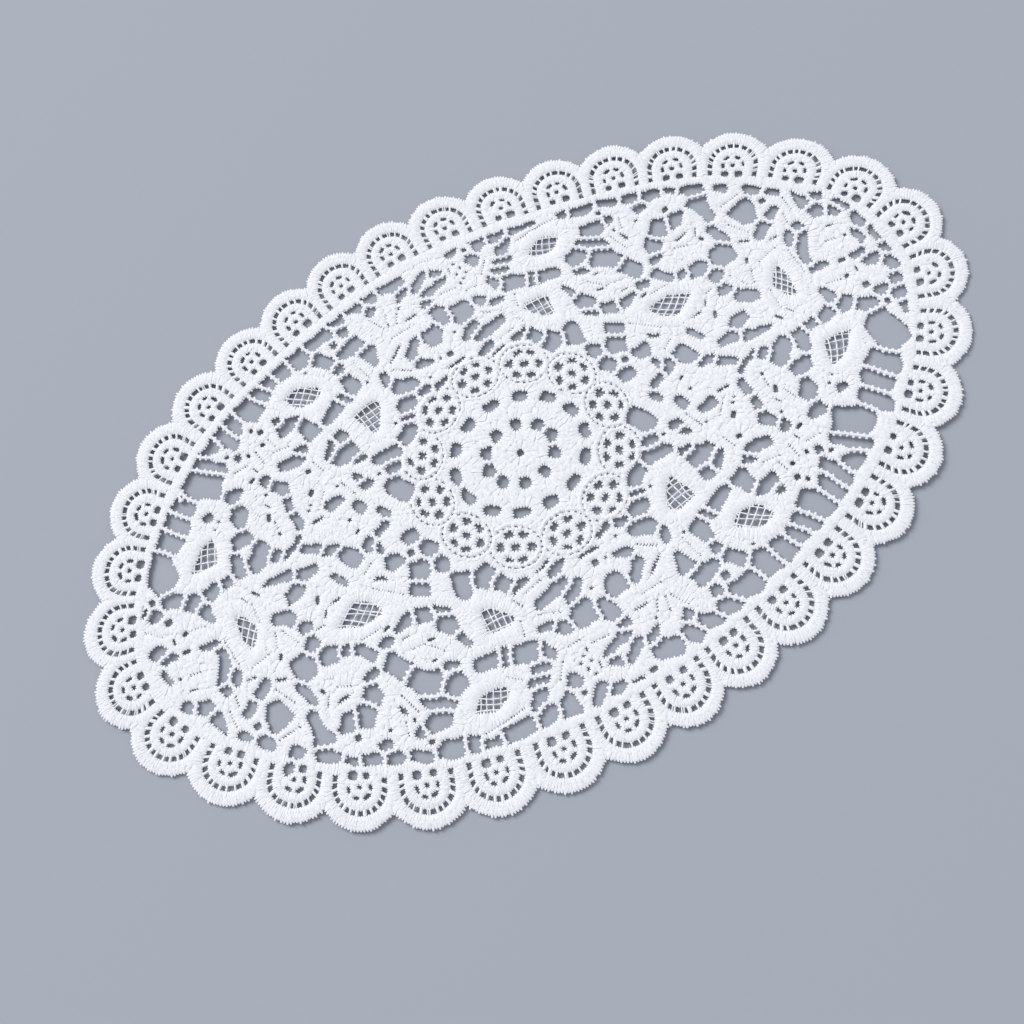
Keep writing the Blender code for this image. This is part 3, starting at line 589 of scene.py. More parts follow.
@dataclass
class ScallopPlan:
    """Where the ladder and the rosette of one scallop lie."""

    rim: Rim
    number: int
    heart_inset: float = 15.2
    ladder_outer: float = 10.35
    ladder_inner: float = 8.3
    ladder_end: float = 22.0
    arm_points: int = 4
    rail_pitch: float = 0.2
    least_side: float = 1.5
    rung_spaces: int = 14
    rung_drift: float = 0.17
    doubled: float = 0.1
    doubled_apart: float = 0.0105
    fine_rung: tuple[float, float] = (0.45, 0.6)
    plain_rung: tuple[float, float] = (0.6, 1.55)
    hole_swing: float = 6.0
    hole_reach: tuple[float, float] = (0.95, 1.05)
    hole_size: tuple[float, float] = (0.85, 1.1)
    foot_size: tuple[float, float] = (0.82, 1.05)
    foot_drift: float = 0.4
    share: float = field(init=False)
    stretch: float = field(init=False)
    side: float = field(init=False)

    def __post_init__(self) -> None:
        """Measures how far apart the scallops are at their rosettes, and how much room the ladder has."""
        place = self.number + self.rim.first_tip
        self.share = self.rim.share(place)
        step = 0.5 / self.rim.scallops
        a = self.rim.point(self.share - step, self.heart_inset)
        b = self.rim.point(self.share + step, self.heart_inset)
        self.stretch = 2.0 * step / math.dist(a, b)
        before, after = self.rim.share(place - 0.5), self.rim.share(place + 0.5)
        half = min(self.share - before, after - self.share) / self.stretch
        self.side = min(1.0, (half - self.least_side) / self.ladder_outer)

    def at(self, tangential: float, inset: float) -> tuple[float, float]:
        """A plan point from a distance along the rim and one inwards."""
        return self.rim.point(self.share + tangential * self.stretch, inset)

    def ladder_line(self, radius: float, count: int = 23) -> list[tuple[float, float]]:
        """One edge of the ladder, from the end of its first arm round to the end of its second.

        Args:
            radius: how far the edge is from the rosette's heart.
            count: number of points on the round part.

        Returns:
            The edge's plan points.
        """
        reach = radius * self.side
        arm = np.linspace(self.ladder_end, self.heart_inset + 1.0, self.arm_points)
        turns = np.linspace(-90.0, 90.0, count)
        line = [self.at(-reach, inset) for inset in arm]
        for turn in np.radians(turns):
            line.append(self.at(reach * math.sin(turn), self.heart_inset - radius * math.cos(turn)))
        line += [self.at(reach, inset) for inset in arm[::-1]]
        return line

    def ladder(self) -> np.ndarray:
        """The outline of the ladder's opening.

        Returns:
            Its points, counter-clockwise.
        """
        outer = self.ladder_line(self.ladder_outer)
        inner = self.ladder_line(self.ladder_inner)
        return counter_clockwise(np.array(outer + inner[::-1]))

    def rungs(self, rng: np.random.Generator) -> list[tuple[np.ndarray, np.ndarray, float]]:
        """The two ends and the width of each thread that crosses the ladder.

        Args:
            rng: the source of unevenness.

        Returns:
            One row for each thread, with fine ones in pairs here and there.
        """
        outer, inner = (
            even_points(np.array(self.ladder_line(radius)), self.rail_pitch, closed=False)
            for radius in (self.ladder_outer, self.ladder_inner)
        )
        threads = []
        for k in range(1, self.rung_spaces):
            place = (k + rng.uniform(-self.rung_drift, self.rung_drift)) / self.rung_spaces
            is_doubled = rng.random() < self.doubled
            for shift in ((-self.doubled_apart, self.doubled_apart) if is_doubled else (0.0,)):
                a = outer[int((place + shift) * (len(outer) - 1))]
                b = inner[int((place + shift) * (len(inner) - 1))]
                threads.append((a, b, rng.uniform(*(self.fine_rung if is_doubled else self.plain_rung))))
        return threads

    def rosette(self, rng: np.random.Generator) -> list[np.ndarray]:
        """The eye of the rosette, the slits round it and the two holes at its foot.

        Args:
            rng: the source of unevenness.

        Returns:
            The outlines of all of them.
        """
        loops = []
        for hole in ROSETTE_HOLES:
            way = math.radians(hole.way + rng.uniform(-self.hole_swing, self.hole_swing))
            reach = hole.reach * rng.uniform(*self.hole_reach)
            size = rng.uniform(*self.hole_size)
            place = Place(reach * math.sin(way), reach * math.cos(way), -math.degrees(way))
            loops.append(self.local_loop(place, hole.long * size, hole.wide * size))
        for hole in FOOT_HOLES:
            size = rng.uniform(*self.foot_size)
            place = Place(hole.across + rng.uniform(-self.foot_drift, self.foot_drift), -hole.inward, 0.0)
            loops.append(self.local_loop(place, hole.long * size, hole.wide * size))
        return loops

    def local_loop(self, place: Place, long: float, wide: float) -> np.ndarray:
        """An opening's outline, its place measured from the rosette's heart, with y towards the rim."""
        flat = outline(Opening(place.x, place.y, long, wide, place.turn, corner=3.0), FEW_CORNERS)
        return counter_clockwise(np.array([self.at(x, self.heart_inset - y) for x, y in flat]))


@dataclass
class MedallionPlan:
    """Where the openings and the satin rings of the medallion lie."""

    x: float = -2.3
    y: float = 1.5
    outer_hole: tuple[float, float] = (7.4, 5.0)
    inner_hole: tuple[float, float] = (5.0, 5.6)
    eye: tuple[float, float] = (3.0, 3.0)
    petal_eye: tuple[float, float] = (3.9, 3.4)
    petal_half: float = 9.9
    petal_reach: float = 8.2
    prick_share: float = 0.62
    prick_wide: float = 0.8
    prick_bow: float = -0.6

    def ring(self, ring: Ring) -> list[Place]:
        """The places of a ring, each with the direction of the way round.

        Args:
            ring: how many there are, and how far out they lie.

        Returns:
            One place for each.
        """
        places = []
        for i in range(ring.count):
            angle = math.tau * (i + ring.start) / ring.count
            x, y = ring.half_length * math.cos(angle), ring.half_width * math.sin(angle)
            turn = math.atan2(ring.half_width * math.cos(angle), -ring.half_length * math.sin(angle))
            places.append(Place(self.x + x, self.y + y, math.degrees(turn)))
        return places

    def ring_holes(self) -> list[np.ndarray]:
        """The two rings of openings round the medallion's middle.

        Returns:
            Their outlines, the outer ring's first.
        """
        return [
            outline(Opening(x, y, *size, turn))
            for ring, size in ((OUTER_RING, self.outer_hole), (INNER_RING, self.inner_hole))
            for x, y, turn in self.ring(ring)
        ]

    def petals(self) -> list[Place]:
        """Places of the medallion's round petals."""
        return self.ring(PETAL_RING)

    def petal_holes(self) -> list[np.ndarray]:
        """The eye of each round petal, the holes round it, and the medallion's own eye.

        Returns:
            Their outlines, the medallion's own eye first.
        """
        loops = [outline(Opening(self.x, self.y, *self.eye, 0.0), LEAST_CORNERS)]
        for x, y, turn in self.petals():
            loops.append(outline(Opening(x, y, *self.petal_eye, turn), FEW_CORNERS))
            for hole in PETAL_HOLES:
                way = math.radians(turn + hole.way)
                spot = Opening(x + hole.reach * math.cos(way), y + hole.reach * math.sin(way),
                               hole.long, hole.wide, math.degrees(way) + 90.0)
                loops.append(outline(spot, FEW_CORNERS))
        return loops

    def petal_ring(self, petal: Place, add: float, count: int = 96) -> np.ndarray:
        """A line round one of the petals, so far outside the seam between its two rows of satin.

        Args:
            petal: the petal's place.
            add: how far outside, or inside where it is negative.
            count: number of points.

        Returns:
            The line's points.
        """
        angles = math.tau * np.arange(count) / count
        along, across = (self.petal_half + add) * np.cos(angles), (self.petal_reach + add) * np.sin(angles)
        return set_down(petal, along, across)

    def petal_seams(self, runs: int = 24) -> list[np.ndarray]:
        """The rows of pinpricks between the two rows of satin round each petal.

        Args:
            runs: number of pinpricks in one row.

        Returns:
            The outlines of the pinpricks.
        """
        loops = []
        for petal in self.petals():
            line = self.petal_ring(petal, 0.0)
            step = len(line) // runs
            for k in range(runs):
                a, b, c = (line[(k * step + shift) % len(line)] for shift in (-(step // 2), 0, step // 2))
                middle = (a + 2.0 * b + c) / 4.0
                turn = math.degrees(math.atan2(c[1] - a[1], c[0] - a[0]))
                bow = self.prick_bow * math.dist(b, (a + c) / 2.0)
                long = self.prick_share * math.dist(a, c)
                prick = Opening(*middle, long, self.prick_wide, turn, bow=bow)
                loops.append(outline(prick, LEAST_CORNERS))
        return loops


@dataclass
class LacePlan:
    """Every line of the lace in plan: what is cut, what only divides, and what crosses a gap."""

    rim: Rim = field(default_factory=Rim)
    medallion: MedallionPlan = field(default_factory=MedallionPlan)
    edge_steps: int = 24
    turn_shift: tuple[float, float] = (-5.0, 2.4)
    drift_spread: float = 30.0
    band_half_length: float = 166.6
    band_half_width: float = 95.8
    band_outer: float = 22.3
    band_ease: float = 2.2
    band_width: float = 3.3
    grow: float = 0.05
    least_area: float = 7.0
    bar: float = 1.15
    bar_reach: float = 2.7
    side_gap: float = 0.2
    pinhole_gap: float = 0.9
    seam_gap: float = 0.6
    ladder_margin: float = 0.7
    ladder_least_end: float = 16.5
    ladder_cut_back: float = 0.8
    edge: np.ndarray = field(init=False)
    cut: list[np.ndarray] = field(default_factory=list)
    scallop_cut: list[np.ndarray] = field(default_factory=list)
    nets: list[tuple[NetWindow, np.ndarray]] = field(default_factory=list)
    rungs: list[tuple[np.ndarray, np.ndarray, float]] = field(default_factory=list)

    def __post_init__(self) -> None:
        """Draws the whole plan."""
        self.edge = counter_clockwise(self.rim.scalloped(self.edge_steps))
        self.cut_field()
        self.cut_scallops(np.random.default_rng(SEED))

    def cut_field(self) -> None:
        """Cuts what lies within the footing band: openings, then pinholes, then rows of pinpricks."""
        tables = (LEFT_END, LEFT_FIELD, LOWER_LEFT, LOWER_MIDDLE, MIDDLE, LOWER_RIGHT, RIGHT_FIELD, RIGHT_END)
        loops = [loop for table in tables for o in table for loop in self.both(o)]
        loops = [loop for loop in loops if signed_area(loop) > self.least_area]
        loops += clear_of([outline(o, grow=self.grow) for o in RIGHT_SIDE], loops, self.side_gap)
        loops += self.medallion.ring_holes()
        windows = [(window, loop) for window in NET_WINDOWS for loop in self.both(window.opening)]
        loops += [loop for _, loop in windows]
        loops = let_out([unfolded(loop) for loop in parted(loops, self.bar)], self.bar, self.bar_reach)
        self.nets = [(window, loop) for (window, _), loop in zip(windows, loops[-len(windows):])]
        pinholes = [loop for o in PINHOLES for loop in self.both(o, FEW_CORNERS)]
        self.cut = loops + clear_of(pinholes + self.medallion.petal_holes(), loops, self.pinhole_gap)
        seams = [loop for o in SEAMS for loop in self.both(o)]
        self.cut += clear_of(seams + self.medallion.petal_seams(), self.cut, self.seam_gap)

    def cut_scallops(self, rng: np.random.Generator) -> None:
        """Cuts the ladder and rosette of each scallop, the ladder shorter where the field needs the room.

        Args:
            rng: the source of unevenness.
        """
        for number in range(self.rim.scallops):
            scallop = ScallopPlan(self.rim, number)
            scallop.ladder_end = self.band_inset(scallop.share) - self.ladder_margin
            fitting: list[np.ndarray] = []
            while not fitting and scallop.ladder_end > self.ladder_least_end:
                fitting = clear_of([scallop.ladder()], self.cut, self.seam_gap)
                scallop.ladder_end -= 0.0 if fitting else self.ladder_cut_back
            self.scallop_cut += clear_of(fitting + scallop.rosette(rng), self.cut, self.seam_gap)
            self.rungs += scallop.rungs(rng)

    def turned(self, loop: np.ndarray) -> np.ndarray:
        """Where points of the first half come to lie in the second half.

        Args:
            loop: points of the first half.

        Returns:
            The points, turned half round and drawn off as the drifts say.
        """
        moved = np.array(self.turn_shift) - loop
        for drift in DRIFTS:
            away = np.hypot(moved[:, 0] - drift.x, moved[:, 1] - drift.y)
            pull = np.exp(-(away / self.drift_spread) ** 2)
            moved = moved + pull[:, None] * np.array([drift.dx, drift.dy])
        return moved

    def band_inset(self, share: float) -> float:
        """Inset of the footing band's outer side; it runs nearer to the rim at the two ends.

        Args:
            share: place on the rim, from 0 to 1.

        Returns:
            Its distance from the rim's oval.
        """
        inset = self.band_outer - self.band_ease * math.cos(math.tau * share) ** 2
        for shift in BAND_SHIFTS:
            away = (share - shift.share + 0.5) % 1.0 - 0.5
            inset += shift.inwards * math.exp(-(away / shift.spread) ** 2)
        return inset

    def band_line(self, add: float, count: int = 700) -> np.ndarray:
        """A line along the footing band, so far in from its outer side."""
        return np.array([self.rim.point(i / count, self.band_inset(i / count) + add) for i in range(count)])

    def within_band(self, loop: np.ndarray) -> np.ndarray:
        """The points, brought in to the footing band's inner edge where they lie beyond it.

        Args:
            loop: plan points.

        Returns:
            The same number of points.
        """
        kept = []
        for x, y in loop:
            reach = 1.0 + wave_sum(REACH, self.rim.share_at(x, y))
            far = math.hypot(x / self.band_half_length, y / self.band_half_width) / reach
            kept.append((x / far, y / far) if far > 1.0 else (x, y))
        return np.array(kept)

    def both(self, opening: Opening, corners: int = CORNERS) -> list[np.ndarray]:
        """An opening's outline and its copy in the second half."""
        first = outline(opening, corners, grow=self.grow)
        return [first, counter_clockwise(self.within_band(self.turned(first)))]


def smoothed(values: np.ndarray) -> np.ndarray:
    """Values round a loop, each eased towards its two neighbours."""
    return 0.6 * values + 0.2 * (np.roll(values, 1, axis=0) + np.roll(values, -1, axis=0))


def unfolded(loop: np.ndarray) -> np.ndarray:
    """The loop with its points evenly spaced and in order round its middle, so that it can't cross itself.

    Args:
        loop: outline of an opening.

    Returns:
        The new outline, a little smoother.
    """
    away = loop - loop.mean(axis=0)
    return smoothed(even_points(loop[np.argsort(np.arctan2(away[:, 1], away[:, 0]))], pitch=0.8))


def neighbours(loops: list[np.ndarray], reach: float) -> list[list[int]]:
    """For each loop, the numbers of the others that may come nearer to it than a reach.

    Args:
        loops: outlines of openings.
        reach: the distance that matters.

    Returns:
        One list of numbers for each loop.
    """
    spans = [middle_and_reach(loop) for loop in loops]
    return [
        [j for j, (there, far) in enumerate(spans) if j != i and math.dist(here, there) < size + far + reach]
        for i, (here, size) in enumerate(spans)
    ]


def let_out(loops: list[np.ndarray], bar: float, reach: float, rounds: int = 5,
            most: tuple[float, float] = (-0.2, 0.4), share: float = 0.6) -> list[np.ndarray]:
    """The loops, let out towards each other where only a bar divides them.

    Args:
        loops: outlines of openings.
        bar: width of a bar.
        reach: lace that is narrower than this is taken for a bar.
        rounds: how often all are let out.
        most: the farthest that a side goes in and out in one round.
        share: how much of the way it goes.

    Returns:
        The let-out outlines, in the same order.
    """
    loops = [loop.copy() for loop in loops]
    for _ in range(rounds):
        near = neighbours(loops, reach)
        moves = []
        for loop, others in zip(loops, near):
            gaps = np.full(len(loop), reach)
            for j in others:
                gaps = np.minimum(gaps, gaps_between(loop, loops[j], pitch=0.4))
            step = np.where(gaps < reach - 0.01, np.clip((gaps - bar) / 2.0, *most), 0.0)
            moves.append(-left_normals(loop) * share * smoothed(step)[:, None])
        loops = [loop + move for loop, move in zip(loops, moves)]
    return [even_points(loop, pitch=0.7) for loop in loops]


def clear_of(small: list[np.ndarray], large: list[np.ndarray], least: float) -> list[np.ndarray]:
    """The small loops that stay clear of the large ones and of each other.

    Args:
        small: outlines to sift.
        large: outlines that stay.
        least: least lace between two outlines.

    Returns:
        The small outlines that are kept.
    """
    kept: list[np.ndarray] = []
    fixed = [(*middle_and_reach(loop), loop) for loop in large]
    for loop in small:
        here, size = middle_and_reach(loop)
        near = [other for there, far, other in fixed if math.dist(here, there) <= size + far + least]
        if not any(is_inside(here, other) or gaps_between(loop, other, pitch=0.3).min() < least
                   for other in near):
            kept.append(loop)
            fixed.append((here, size, loop))
    return kept


def parted(loops: list[np.ndarray], least: float, rounds: int = 40, pull: float = 0.05,
           deepest: float = 6.0) -> list[np.ndarray]:
    """The loops, drawn in where they come nearer to each other than a bar's width.

    Args:
        loops: outlines of openings.
        least: least width of the bar between two of them.
        rounds: how often they are drawn in at most.
        pull: how far towards its middle a point is drawn in one round, as a share.
        deepest: how far inside another outline a point may lie at first.

    Returns:
        The drawn-in outlines, in the same order.
    """
    loops = [loop.copy() for loop in loops]
    centres = [loop.mean(axis=0) for loop in loops]
    near = neighbours(loops, least)
    busy = set(range(len(loops)))
    for _ in range(rounds):
        moved = set()
        for i in sorted(busy):
            loop = loops[i]
            for j in near[i]:
                gaps = gaps_between(loop, loops[j], pitch=0.35)
                close = gaps < least
                for n in np.flatnonzero(gaps < deepest):
                    close[n] |= is_inside(loop[n], loops[j])
                if close.any():
                    loop[close] += pull * (centres[i] - loop[close])
                    moved.add(i)
        if not moved:
            break
        busy = moved
    return loops


# --------------------------------------------------------------------------------------------------
# finishes
# --------------------------------------------------------------------------------------------------
@dataclass(frozen=True)
class Finish:
    """What a node material is made with: its name, colour, roughness and gloss."""

    name: str
    colour: tuple[float, float, float]
    roughness: float
    specular: float

    def started(self) -> tuple[bpy.types.Material, bpy.types.Node, bpy.types.NodeSocket]:
        """A new material with the finish's own roughness and gloss.

        Returns:
            The material, its shader, and the place on the object for textures to read.
        """
        material = bpy.data.materials.new(self.name)
        material.use_nodes = True
        shader = material.node_tree.nodes["Principled BSDF"]
        shader.inputs["Roughness"].default_value = self.roughness
        shader.inputs["Specular IOR Level"].default_value = self.specular
        return material, shader, self.node(shader, "TexCoord").outputs["Object"]

    @staticmethod
    def node(beside: bpy.types.Node, kind: str, links: dict[str, bpy.types.NodeSocket] | None = None,
             **values: float) -> bpy.types.Node:
        """Adds a node.

        Args:
            beside: any node of the same tree.
            kind: its type, without the prefix of shader nodes.
            links: what is linked to its inputs, by their names.
            values: what its other inputs are set to, with _ for a space in their names.

        Returns:
            The new node.
        """
        tree = beside.id_data
        made = tree.nodes.new("ShaderNode" + kind)
        for key, value in values.items():
            made.inputs[key.replace("_", " ")].default_value = value
        for key, socket in (links or {}).items():
            tree.links.new(socket, made.inputs[key])
        return made


@dataclass(frozen=True)
class CottonFinish(Finish):
    """White embroidery cotton: fine parallel threads with a soft, uneven surface.

    The wave texture repeats after wave_length at a scale of 1.
    """

    name: str = "white_cotton"
    colour: tuple[float, float, float] = (0.825, 0.83, 0.88)
    # the darker tone of the mottle is painted shade, standing in for the shadowed pits and pinholes between
    # stitches
    shade: tuple[float, float, float] = (0.72, 0.735, 0.79)
    shade_end: float = 0.3
    colour_start: float = 0.52
    roughness: float = 0.72
    specular: float = 0.3
    sheen: float = 0.25
    sheen_roughness: float = 0.5
    wave_length: float = 0.314
    thread_pitch: float = 0.42
    thread_depth: float = 0.13
    fuzz_scale: float = 1600.0
    fuzz_depth: float = 0.1
    mottle_and_pit_shade_scale: float = 1100.0

    def material(self) -> bpy.types.Material:
        """Builds the node material, which reads the stitches' own UV map in millimetres.

        Returns:
            The white cotton.
        """
        material, shader, place = self.started()
        links = material.node_tree.links
        shader.inputs["Sheen Weight"].default_value = self.sheen
        shader.inputs["Sheen Roughness"].default_value = self.sheen_roughness
        thread_place = self.node(shader, "UVMap")
        thread_place.uv_map = UV_NAME
        threads = self.node(shader, "TexWave", {"Vector": thread_place.outputs["UV"]},
                            Scale=self.wave_length / self.thread_pitch, Distortion=1.2, Detail=1.0,
                            Detail_Scale=0.6)
        threads.bands_direction = "Y"
        fuzz = self.node(shader, "TexNoise", {"Vector": place}, Scale=self.fuzz_scale, Detail=2.0)
        # random mottle between the clean white and the darker tone; its dark specks are painted shade for the
        # pits between stitches, not a colour of the cotton
        mottle_and_pit_shade = self.node(shader, "TexNoise", {"Vector": place}, Scale=self.mottle_and_pit_shade_scale, Detail=2.0)
        tones = self.node(shader, "ValToRGB", {"Fac": mottle_and_pit_shade.outputs["Fac"]})
        low, high = tones.color_ramp.elements
        low.position, low.color = self.shade_end, (*self.shade, 1.0)
        high.position, high.color = self.colour_start, (*self.colour, 1.0)
        links.new(tones.outputs["Color"], shader.inputs["Base Color"])
        deep = self.node(shader, "Bump", {"Height": threads.outputs["Fac"]},
                         Strength=0.55, Distance=self.thread_depth * MM)
        fine = self.node(shader, "Bump", {"Height": fuzz.outputs["Fac"], "Normal": deep.outputs["Normal"]},
                         Strength=0.5, Distance=self.fuzz_depth * MM)
        links.new(fine.outputs["Normal"], shader.inputs["Normal"])
        return material


@dataclass(frozen=True)
class TableFinish(Finish):
    """The plain pale table top, matt with a faint grain."""

    name: str = "pale_table"
    colour: tuple[float, float, float] = (0.345, 0.372, 0.428)
    roughness: float = 0.95
    specular: float = 0.1
    grain_scale: float = 900.0
    grain_depth: float = 0.05

    def material(self) -> bpy.types.Material:
        """Builds the node material.

        Returns:
            The pale table top.
        """
        material, shader, place = self.started()
        shader.inputs["Base Color"].default_value = (*self.colour, 1.0)
        grain = self.node(shader, "TexNoise", {"Vector": place}, Scale=self.grain_scale)
        bump = self.node(shader, "Bump", {"Height": grain.outputs["Fac"]},
                         Strength=0.15, Distance=self.grain_depth * MM)
        material.node_tree.links.new(bump.outputs["Normal"], shader.inputs["Normal"])
        return material


# --------------------------------------------------------------------------------------------------
# stitches
# --------------------------------------------------------------------------------------------------
def linked(name: str, data: bpy.types.ID) -> bpy.types.Object:
    """A new object for a mesh, curve, lamp or camera.

    Args:
        name: its name.
        data: the mesh, curve, lamp or camera.

    Returns:
        The object, in the scene.
    """
    made = bpy.data.objects.new(name, data)
    bpy.context.scene.collection.objects.link(made)
    return made


def lace_piece(mesh: bpy.types.Mesh, material: bpy.types.Material) -> bpy.types.Object:
    """A new piece of the lace, named for its mesh, dressed, and riding on the doily's body.

    Args:
        mesh: its finished mesh.
        material: the finish.

    Returns:
        The new object.
    """
    mesh.materials.append(material)
    obj = linked(mesh.name, mesh)
    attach(obj, BODY)
    return obj


def uneven_lift(x: np.ndarray, y: np.ndarray) -> np.ndarray:
    """How far the lace stands off the table at plan points, in two long low waves.

    Args:
        x: how far to the right the points are.
        y: how far up they are.

    Returns:
        One height in millimetres for each point.
    """
    swell = np.sin(x / 31.0 + 1.3) * np.cos(y / 24.0 - 0.6)
    slant = np.sin((x + 1.7 * y) / 53.0 + 2.1)
    return MEAN_LIFT + SWELL_LIFT * swell + SLANT_LIFT * slant


Stations = tuple[tuple[float, float, float, float], ...]


class Section(Enum):
    """The cross section of a stitch, by its number of corners."""

    CROWNED = 5
    ROUND = 6


@dataclass
class Stitches:
    """Many stitches of one kind, gathered row by row and made into one mesh.

    Each stitch has four stations along it: distance, width, underside and top.
    """

    name: str
    origin: np.ndarray
    section: Section = Section.CROWNED
    sharp: float = 38.0
    shoulder: tuple[float, float] = (0.76, 0.84)
    crown_rise: float = 0.08
    thread_shift: float = 40.0
    starts: list[np.ndarray] = field(default_factory=list)
    headings: list[np.ndarray] = field(default_factory=list)
    stations: list[Stations] = field(default_factory=list)
    rolls: list[float] = field(default_factory=list)

    def lay(self, start: np.ndarray, heading: np.ndarray, stations: Stations, roll: float = 0.0) -> None:
        """Adds one stitch.

        Args:
            start: its first plan point.
            heading: unit direction in plan.
            stations: four rows of (distance, width, underside, top).
            roll: how much its top leans to one side, as a slope.
        """
        self.starts.append(np.asarray(start, float))
        self.headings.append(np.asarray(heading, float))
        self.stations.append(stations)
        self.rolls.append(roll)

    def template(self) -> tuple[np.ndarray, np.ndarray, list[list[int]]]:
        """A plain stitch: its section, drawn out through four stations and capped.

        Returns:
            Station number of each vertex, its (across, up) place from -0.5 to 0.5 and 0 to 1, and the faces.
        """
        mesh = bmesh.new()
        if self.section is Section.CROWNED:
            bmesh.ops.create_grid(mesh, x_segments=1, y_segments=1, size=0.5)
            top = [v for v in mesh.verts if v.co.y > 0.0]
            bmesh.ops.scale(mesh, verts=top, vec=(*self.shoulder, 1.0))
            rim = [e for e in mesh.edges if all(v.co.y > 0.0 for v in e.verts)]
            crown = [g for g in bmesh.ops.subdivide_edges(mesh, edges=rim, cuts=1)["geom_inner"]
                     if isinstance(g, bmesh.types.BMVert)]
            bmesh.ops.translate(mesh, verts=crown, vec=(0.0, self.crown_rise, 0.0))
        else:
            bmesh.ops.create_circle(mesh, cap_ends=True, segments=self.section.value, radius=0.5)
        face = mesh.faces[:][0]
        for run in range(3):
            grown = bmesh.ops.extrude_face_region(mesh, geom=[face])["geom"]
            if run:
                bmesh.ops.delete(mesh, geom=[face], context="FACES_ONLY")
            face = next(g for g in grown if isinstance(g, bmesh.types.BMFace))
            bmesh.ops.translate(mesh, verts=face.verts, vec=(0.0, 0.0, 1.0))
        bmesh.ops.recalc_face_normals(mesh, faces=mesh.faces)
        mesh.verts.index_update()
        places = np.array([v.co for v in mesh.verts])
        faces = sorted([v.index for v in f.verts] for f in mesh.faces)
        mesh.free()
        station = np.rint(places[:, 2]).astype(int)
        across = places[:, 0] / np.ptp(places[:, 0])
        up = (places[:, 1] - places[:, 1].min()) / np.ptp(places[:, 1])
        return station, np.column_stack([across, up]), faces

    def build(self, material: bpy.types.Material) -> bpy.types.Object:
        """Makes the mesh of all stitches.

        Args:
            material: the finish.

        Returns:
            The new object, riding on the doily's body.
        """
        station, section, faces = self.template()
        starts, headings = np.array(self.starts), np.array(self.headings)
        along, width, low, high = np.moveaxis(np.array(self.stations)[:, station], -1, 0)
        across, up = section[None, :, 0] * width, section[None, :, 1]
        x = starts[:, :1] + headings[:, :1] * along - headings[:, 1:] * across
        y = starts[:, 1:] + headings[:, 1:] * along + headings[:, :1] * across
        z = low + (high - low) * up + np.array(self.rolls)[:, None] * across * up + uneven_lift(x, y)
        points = np.stack([x - self.origin[0], y - self.origin[1], z], axis=-1).reshape(-1, 3) * MM
        count, size = len(starts), len(station)
        corner_rows, face_sizes = [], []
        for sides in sorted({len(f) for f in faces}):
            group = np.array([f for f in faces if len(f) == sides], dtype=np.int64)
            every = (group[None] + size * np.arange(count)[:, None, None]).reshape(-1, sides)
            corner_rows.append(every.ravel())
            face_sizes.append(np.full(len(every), sides))
        corners, sizes = np.concatenate(corner_rows), np.concatenate(face_sizes)
        mesh = bpy.data.meshes.new(self.name)
        mesh.vertices.add(len(points))
        mesh.loops.add(len(corners))
        mesh.polygons.add(len(sizes))
        mesh.vertices.foreach_set("co", points.ravel())
        mesh.loops.foreach_set("vertex_index", corners.astype(np.int32))
        mesh.polygons.foreach_set("loop_start", (np.cumsum(sizes) - sizes).astype(np.int32))
        mesh.update(calc_edges=True)
        shift = np.random.default_rng(SEED + 1).uniform(0.0, self.thread_shift, (count, 2))
        thread = np.stack([along + shift[:, :1], across + shift[:, 1:]], axis=-1).reshape(-1, 2)
        layer = mesh.uv_layers.new(name=UV_NAME)
        layer.data.foreach_set("uv", thread[corners].ravel().astype(np.float32))
        mesh.shade_smooth()
        if self.section is Section.CROWNED:
            mesh.set_sharp_from_angle(angle=math.radians(self.sharp))
        LOG.info("%s: %d stitches, %d triangles", self.name, count, count * sum(len(f) - 2 for f in faces))
        return lace_piece(mesh, material)


@dataclass
class Edges:
    """Every edge of the lace, ready to be asked how near it is."""

    plan: LacePlan
    sample: float = 0.4
    slack: float = 0.3
    loops: list[tuple[np.ndarray, float, np.ndarray]] = field(init=False)
    tree: KDTree = field(init=False)

    def __post_init__(self) -> None:
        """Gathers every edge into one search tree."""
        holes = [*self.plan.cut, *self.plan.scallop_cut]
        self.loops = [(*middle_and_reach(hole), hole) for hole in holes]
        points = np.vstack([even_points(loop, self.sample) for loop in [self.plan.edge, *holes]])
        self.tree = KDTree(len(points))
        for index, (x, y) in enumerate(points):
            self.tree.insert((x, y, 0.0), index)
        self.tree.balance()

    def distance(self, spot: np.ndarray) -> float:
        """How far the nearest edge is from a plan point."""
        return self.tree.find((spot[0], spot[1], 0.0))[2]

    def in_hole(self, spot: np.ndarray) -> bool:
        """Whether a plan point lies in an opening."""
        return any(math.dist(spot, there) < far and is_inside(spot, loop) for there, far, loop in self.loops)

    def middle(self, start: np.ndarray, heading: np.ndarray, most: float, march: float = 0.25) -> float:
        """How far a stitch from an edge runs before another edge is nearer than its own.

        Args:
            start: plan point on an edge.
            heading: unit direction into the lace.
            most: the longest that it may be.
            march: step of the search.

        Returns:
            The distance.
        """
        far = march
        while far < most and self.distance(start + heading * far) >= far - self.slack:
            far += march
        return far

    def room(self, start: np.ndarray, heading: np.ndarray, most: float, clear: float,
             march: float = 0.2) -> float:
        """How far a line runs before it comes near an edge.

        Args:
            start: plan point on the lace.
            heading: unit direction.
            most: the farthest that is wanted.
            clear: how near is too near.
            march: step of the search.

        Returns:
            The distance.
        """
        far = 0.0
        while far < most and self.distance(start + heading * far) > clear:
            far += march
        return min(far, most)


class Foot(NamedTuple):
    """Where a stitch stands on a line: its place, its direction, and its width, which grows with distance."""

    place: np.ndarray
    way: np.ndarray
    width: float
    growth: float


